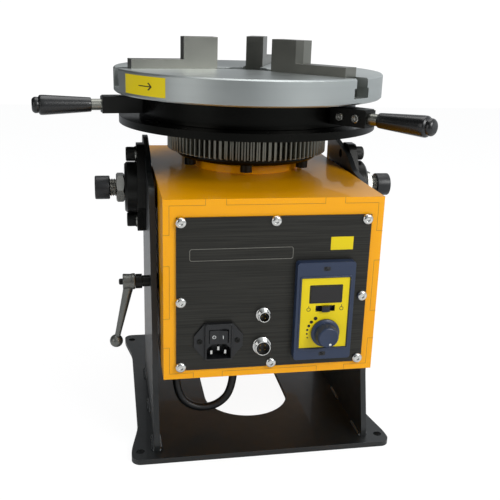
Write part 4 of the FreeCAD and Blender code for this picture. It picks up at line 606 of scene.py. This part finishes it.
def panel_labels():
    """A blank yellow sticker, and an engraved border line with rounded corners."""
    sticker = loft([rounded_box(23, 13.5, 0.4, 0), rounded_box(23, 13.5, 0.4, 0.12)])
    sticker = moved(sticker, facing(FRONT), (67.5, PANEL_FACE, HEAD_TOP - 46.2))
    piece("panel_sticker", [sticker], "yellow_label", "head")
    rings = [rounded_box(102, 12.2, 2.2, 0, 8), rounded_box(102, 12.2, 2.2, 0.05, 8),
             rounded_box(101.2, 11.4, 1.9, 0.05, 8), rounded_box(101.2, 11.4, 1.9, 0, 8)]
    line = moved(loft(rings, closed=True), facing(FRONT), (-32.7, PANEL_FACE, HEAD_TOP - 54.6))
    piece("engraved_border", [line], "engraving", "head")


def inlet_details():
    """Two countersunk screws in the ears, a raised lip round the housing, and the rocker's O and I."""
    ears = PANEL_FACE - 2.5
    screws = [moved(button_screw(5.6, 1.0, 2.0, 0.6), facing(FRONT), (INLET_X + x, ears, INLET_MIDDLE))
              for x in (-19, 19)]
    piece("inlet_screws", screws, "black_steel", "head")
    rings = [rounded_box(27.4, 38.5, 2, 0), rounded_box(27.4, 38.5, 2, 0.5),
             rounded_box(26.8, 37.9, 1.8, 0.8), rounded_box(25.0, 36.1, 1.2, 0.8),
             rounded_box(24.6, 35.7, 1, 0)]
    lip = moved(loft(rings, closed=True), facing(FRONT), (INLET_X, INLET_FRONT, INLET_MIDDLE))
    piece("inlet_lip", [lip], "black_plastic", "head")
    hinge = np.array((INLET_X, INLET_FRONT + 1.5, HEAD_TOP - 138.4))
    tilt, half, swell = math.radians(8), 8.9, 2.4
    marks = []
    for side, mark in ((-1, lathe([(1.3, 0), (1.8, 0), (1.8, 0.05), (1.3, 0.05)], 24, closed=True)),
                       (1, flat_mark(lambda level: rounded_box(0.6, 3.6, 0.2, level)))):
        slope = facing((-side * math.sin(tilt), -math.cos(tilt), 0))
        spot = np.array((side * half * 0.5, -swell - half * 0.5 * math.tan(tilt), 0))
        tip = np.array(Matrix.Rotation(-tilt, 3, "Z"))
        marks.append(moved(moved(mark, slope, spot), tip, hinge))
    piece("rocker_marks", marks, "white_ink", "rocker")


def panel_sockets():
    """Two round sockets: a ring nut, a threaded nose, and a dark insert with brass contacts."""
    shells, inserts, contacts = [], [], []
    for x, drop, wide, thread, pins in ((-9.7, 118.6, 15, 12, 3), (-10, 152.5, 19, 16, 4)):
        spot = (x, 0, HEAD_TOP - drop)
        back, face = -PANEL_FACE - 2, -PANEL_FACE
        bore = thread / 2 - 1.2
        body = [(bore, back - 12), (thread / 2, back - 12), (thread / 2, face), (wide / 2, face),
                (wide / 2, face + 1.4), (wide / 2 - 0.6, face + 2), (thread / 2, face + 2.2)]
        for i in range(8):
            body += [(thread / 2 - 0.45, face + 2.5 + 0.65 * i), (thread / 2, face + 2.8 + 0.65 * i)]
        body += [(thread / 2 - 0.5, face + 8), (bore, face + 8)]
        shells.append(moved(lathe(body, 48, closed=True), facing(FRONT), spot))
        core = [(0, back - 12), (bore, back - 12), (bore, face), (0, face)]
        inserts.append(moved(lathe(core, 32), facing(FRONT), spot))
        for i in range(pins):
            angle = 2 * math.pi * (i + 0.5) / pins
            pin = lathe([(0, face), (0.6, face), (0.6, face + 5), (0.3, face + 5.6), (0, face + 5.6)], 12)
            shift = (x + bore * 0.5 * math.cos(angle), 0, HEAD_TOP - drop + bore * 0.5 * math.sin(angle))
            contacts.append(moved(pin, facing(FRONT), shift))
    piece("socket_shells", shells, "chrome", "head", nodes=["panel_sockets"])
    piece("socket_inserts", inserts, "black_plastic", "head", nodes=["socket_inserts"])
    piece("socket_contacts", contacts, "brass", "head")


def fingers(start, end, tabs, half, level, edge):
    """Runs along a level from start to end, broken at each tab, with a step out to the edge beside each."""
    stops = [start] + [tab + side * half for tab in tabs for side in (-1, 1)] + [end]
    runs = [(stops[i], level, stops[i + 1], level) for i in range(0, len(stops), 2)]
    return runs + [(stop, level, stop, edge) for stop in stops[1:-1]]


def joint_seams():
    """Fine dark lines on the head's front, where the front plate's fingers meet the other plates: painted
    shade for the shadow in the hairline gaps.
    """
    width, low, high, middle, plate, line = 109, 101, HEAD_TOP, 194, 6, 0.4
    runs = fingers(plate - width, width - plate, (-58.6, 58.6), 10, high - plate, high)
    runs += fingers(plate - width, width - plate, (-64.3, 64.3), 14.75, low + plate, low)
    upright = fingers(low + plate, high - plate, (middle - 42.8, middle + 42.8), 15.5, width - plate, width)
    for z0, x0, z1, x1 in upright:
        runs += [(x0, z0, x1, z1), (-x0, z0, -x1, z1)]
    parts = []
    for x0, z0, x1, z1 in runs:
        wide, tall = abs(x1 - x0) + line, abs(z1 - z0) + line
        strip = loft([rounded_box(wide, tall, 0.1, 0, 1), rounded_box(wide, tall, 0.1, 0.03, 1)])
        parts.append(moved(strip, facing(FRONT), ((x0 + x1) / 2, PANEL_FACE + 2, (z0 + z1) / 2)))
    piece("joint_seams", parts, "seam", "head")


# ---------------------------------------------------------------- chuck

def curved_patch(start, end, low, high, radius, thick, steps=24):
    """A patch on the disc's rim: two bent rectangles, one just outside the other, closed round the edge."""
    angles = np.radians(np.linspace(start, end, steps + 1))
    rings = []
    for level, reach in ((low, radius), (low, radius + thick), (high, radius + thick), (high, radius)):
        rings.append(np.column_stack([reach * np.cos(angles), reach * np.sin(angles) + SPINDLE_Y,
                                      np.full(len(angles), level)]))
    count = len(angles)
    points, faces = np.concatenate(rings), []
    for i in range(4):
        low_row, high_row = i * count, (i + 1) % 4 * count
        for j in range(count - 1):
            faces.append((low_row + j, low_row + j + 1, high_row + j + 1, high_row + j))
    faces.append(tuple(i * count for i in range(4)))
    faces.append(tuple(i * count + count - 1 for i in range(4))[::-1])
    return points, faces


def rim_label():
    """A blank yellow label on the rim, with a black arrow that points the way the ring turns to open."""
    film, ink = 0.12, 0.06
    label = curved_patch(203, 227.5, 373.3, 392.6, CHUCK_RADIUS, film)
    piece("rim_label", [label], "yellow_label", "table")
    middle, shaft_end = 382.8, 220.5
    parts = [curved_patch(213, shaft_end, middle - 0.5, middle + 0.5, CHUCK_RADIUS + film, ink, 8)]
    for i in range(6):
        low = shaft_end - 0.28 * i
        for side in (-1, 1):
            level = middle + side * (0.5 + 0.62 * i)
            parts.append(curved_patch(low - 0.7, low + 0.15, min(level, level - side * 0.75),
                                      max(level, level - side * 0.75), CHUCK_RADIUS + film, ink, 2))
    piece("rim_arrow", parts, "black_ink", "table")


# ---------------------------------------------------------------- base and cable

def weld_bead(side, x, start, end):
    """A fillet along a foot: a quarter-round bar whose radius ripples and fades at its ends."""
    ripple_length, least, swell = 2.4, 2.9, 0.35
    rings = []
    for y in np.arange(start, end, 0.6):
        fade = min(1.0, math.sqrt(max(0.02, min(y - start, end - y) / 4)))
        ripple = abs(math.sin(math.pi * y / ripple_length))
        radius = (least + swell * ripple) * fade
        turns = np.linspace(0, math.pi / 2, 6)
        arc = [(x + side * radius * math.cos(t), y, BASE_TOP + radius * math.sin(t)) for t in turns]
        root, sunk = x - side * 0.3, BASE_TOP - 0.2
        rings.append(np.array(arc + [(root, y, BASE_TOP + radius), (root, y, sunk),
                                     (x + side * radius, y, sunk)]))
    return loft(rings)


def weld_beads():
    """Stitch welds along both sides of both uprights' feet."""
    parts = []
    for hand in (-1, 1):
        for side, x in ((hand, OUTER), (-hand, INNER)):
            for start, end in ((-145, -112), (-62, -30), (18, 51)):
                parts.append(weld_bead(side, hand * x, start, end))
    piece("weld_beads", parts, "weld", "base")


def cable_glands():
    """Two glands: a hexagon under the plate, a domed nut with grip ribs, and the thread inside."""
    low = GLAND_LOW
    hexed = hexagon(20)
    rings = [circle(4.5, low, 96), circle(5.6, low, 96), circle(8.2, low + 2.2, 96),
             circle(ribbed(9.0, 0.5, 16), low + 4, 96), circle(ribbed(9.0, 0.5, 16), low + 13.6, 96),
             circle(8.4, low + 14.4, 96), circle(8.4, low + 15, 96), circle(hexed, low + 15.4, 96),
             circle(hexed, low + 24.4, 96), circle(9.4, low + 25, 96), circle(8, low + 25, 96),
             circle(8, low + 39, 96), circle(4.5, low + 39, 96)]
    parts = [moved(loft(rings, closed=True), shift=(x, GLAND_Y, 0)) for x in GLANDS]
    piece("cable_glands", parts, "black_plastic", "head", nodes=["cable_glands"])


def loop_cable():
    """A quadratic spline from the left gland down, across and up to the right gland."""
    left, right = GLANDS
    route = [(left, GLAND_Y, GLAND_LOW), (-90.5, -90, 45), (-71, -93, 25.8), (-43.5, -93, 26.5),
             (-25, -90, 45.5), (right, GLAND_Y, GLAND_LOW)]
    curve = bpy.data.curves.new("cable", "CURVE")
    curve.dimensions = "3D"
    curve.resolution_u, curve.bevel_resolution = 12, 6
    curve.bevel_depth = 4.5 * MM
    curve.use_fill_caps = True
    line = curve.splines.new("NURBS")
    line.points.add(len(route) - 1)
    for point, spot in zip(line.points, route):
        point.co = [c * MM for c in spot] + [1]
    line.order_u = 3
    line.use_endpoint_u = True
    cable = bpy.data.objects.new("cable", curve)
    bpy.context.scene.collection.objects.link(cable)
    dress(cable, "cable_rubber")
    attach(cable, "head")
    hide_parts("loop_cable")


# ---------------------------------------------------------------- stage

def world_light():
    """White for the camera; reflections see a room that is bright up to the right and dark in front."""
    world = bpy.data.worlds.new("white room")
    bpy.context.scene.world = world
    world.use_nodes = True
    tree = world.node_tree
    tree.nodes.remove(tree.nodes["Background"])
    place = add(tree, "TexCoord").outputs["Generated"]
    bright = Vector((0.85, -0.1, 0.45)).normalized()
    toward = add(tree, "VectorMath", {0: place, 1: bright}, operation="DOT_PRODUCT").outputs["Value"]
    share = add(tree, "MapRange", {"Value": toward, "From Min": -0.35, "From Max": 0.85, "To Min": 0.08,
                                   "To Max": 0.95}, interpolation_type="SMOOTHSTEP").outputs["Result"]
    room = add(tree, "Background", {0: linear("#eef2f6"), 1: share}).outputs[0]
    grey = add(tree, "Background", {0: linear("#e6ecf2"), 1: 0.42}).outputs[0]
    white = add(tree, "Background", {0: (1, 1, 1, 1), 1: 1.05}).outputs[0]
    path = add(tree, "LightPath").outputs
    lit = add(tree, "MixShader", {0: path["Is Glossy Ray"], 1: grey, 2: room}).outputs[0]
    seen = add(tree, "MixShader", {0: path["Is Camera Ray"], 1: lit, 2: white}).outputs[0]
    tree.links.new(seen, tree.nodes["World Output"].inputs[0])


def lamps():
    """A key light from the front right, a weak fill from the left and a broad light from above."""
    for name, spot, size, power in (("key", (1.0, -1.4, 1.3), 0.9, 20), ("fill", (-1.7, -1.0, 0.8), 1.2, 6),
                                    ("top", (0.1, 0.3, 1.9), 1.3, 11)):
        data = bpy.data.lights.new(name, "AREA")
        data.shape, data.size, data.energy = "SQUARE", size, power
        lamp = bpy.data.objects.new(name, data)
        bpy.context.scene.collection.objects.link(lamp)
        lamp.location = spot
        aim = Vector((0, 0, 0.22)) - Vector(spot)
        lamp.rotation_euler = aim.to_track_quat("-Z", "Y").to_euler()


def lay_floor():
    """A large plane that shows nearly white to the camera and still takes a soft shadow."""
    mesh = bpy.data.meshes.new("floor")
    wide = 3.0
    corners = [(-wide, -wide, 0), (wide, -wide, 0), (wide, wide, 0), (-wide, wide, 0)]
    mesh.from_pydata(corners, [], [(0, 1, 2, 3)])
    floor = bpy.data.objects.new("floor", mesh)
    bpy.context.scene.collection.objects.link(floor)
    floor.location.z = -0.2 * MM
    material, tree, shader, _ = blank_material("white backdrop paper")
    shader.inputs["Base Color"].default_value = (0.9, 0.9, 0.9, 1)
    shader.inputs["Roughness"].default_value = 0.7
    glow = add(tree, "Emission", {0: (1, 1, 1, 1), 1: 1.08}).outputs[0]
    seen = add(tree, "LightPath").outputs["Is Camera Ray"]
    share = add(tree, "Math", {0: seen, 1: 0.86}, operation="MULTIPLY").outputs[0]
    mixed = add(tree, "MixShader", {0: share, 1: shader.outputs[0], 2: glow}).outputs[0]
    tree.links.new(mixed, tree.nodes["Material Output"].inputs[0])
    mesh.materials.append(material)


aim_camera()
dress_nodes()
hub_screw_heads()
panel_screw_heads()
threaded_studs()
trunnion_nuts()
trunnion_knob("left_knob", LEFT)
trunnion_knob("right_knob", RIGHT)
clamp_handle()
handle_grips()
lug_fittings()
speed_dial()
printed_marks()
controller_trim()
panel_labels()
inlet_details()
panel_sockets()
joint_seams()
rim_label()
weld_beads()
cable_glands()
loop_cable()
world_light()
lamps()
lay_floor()
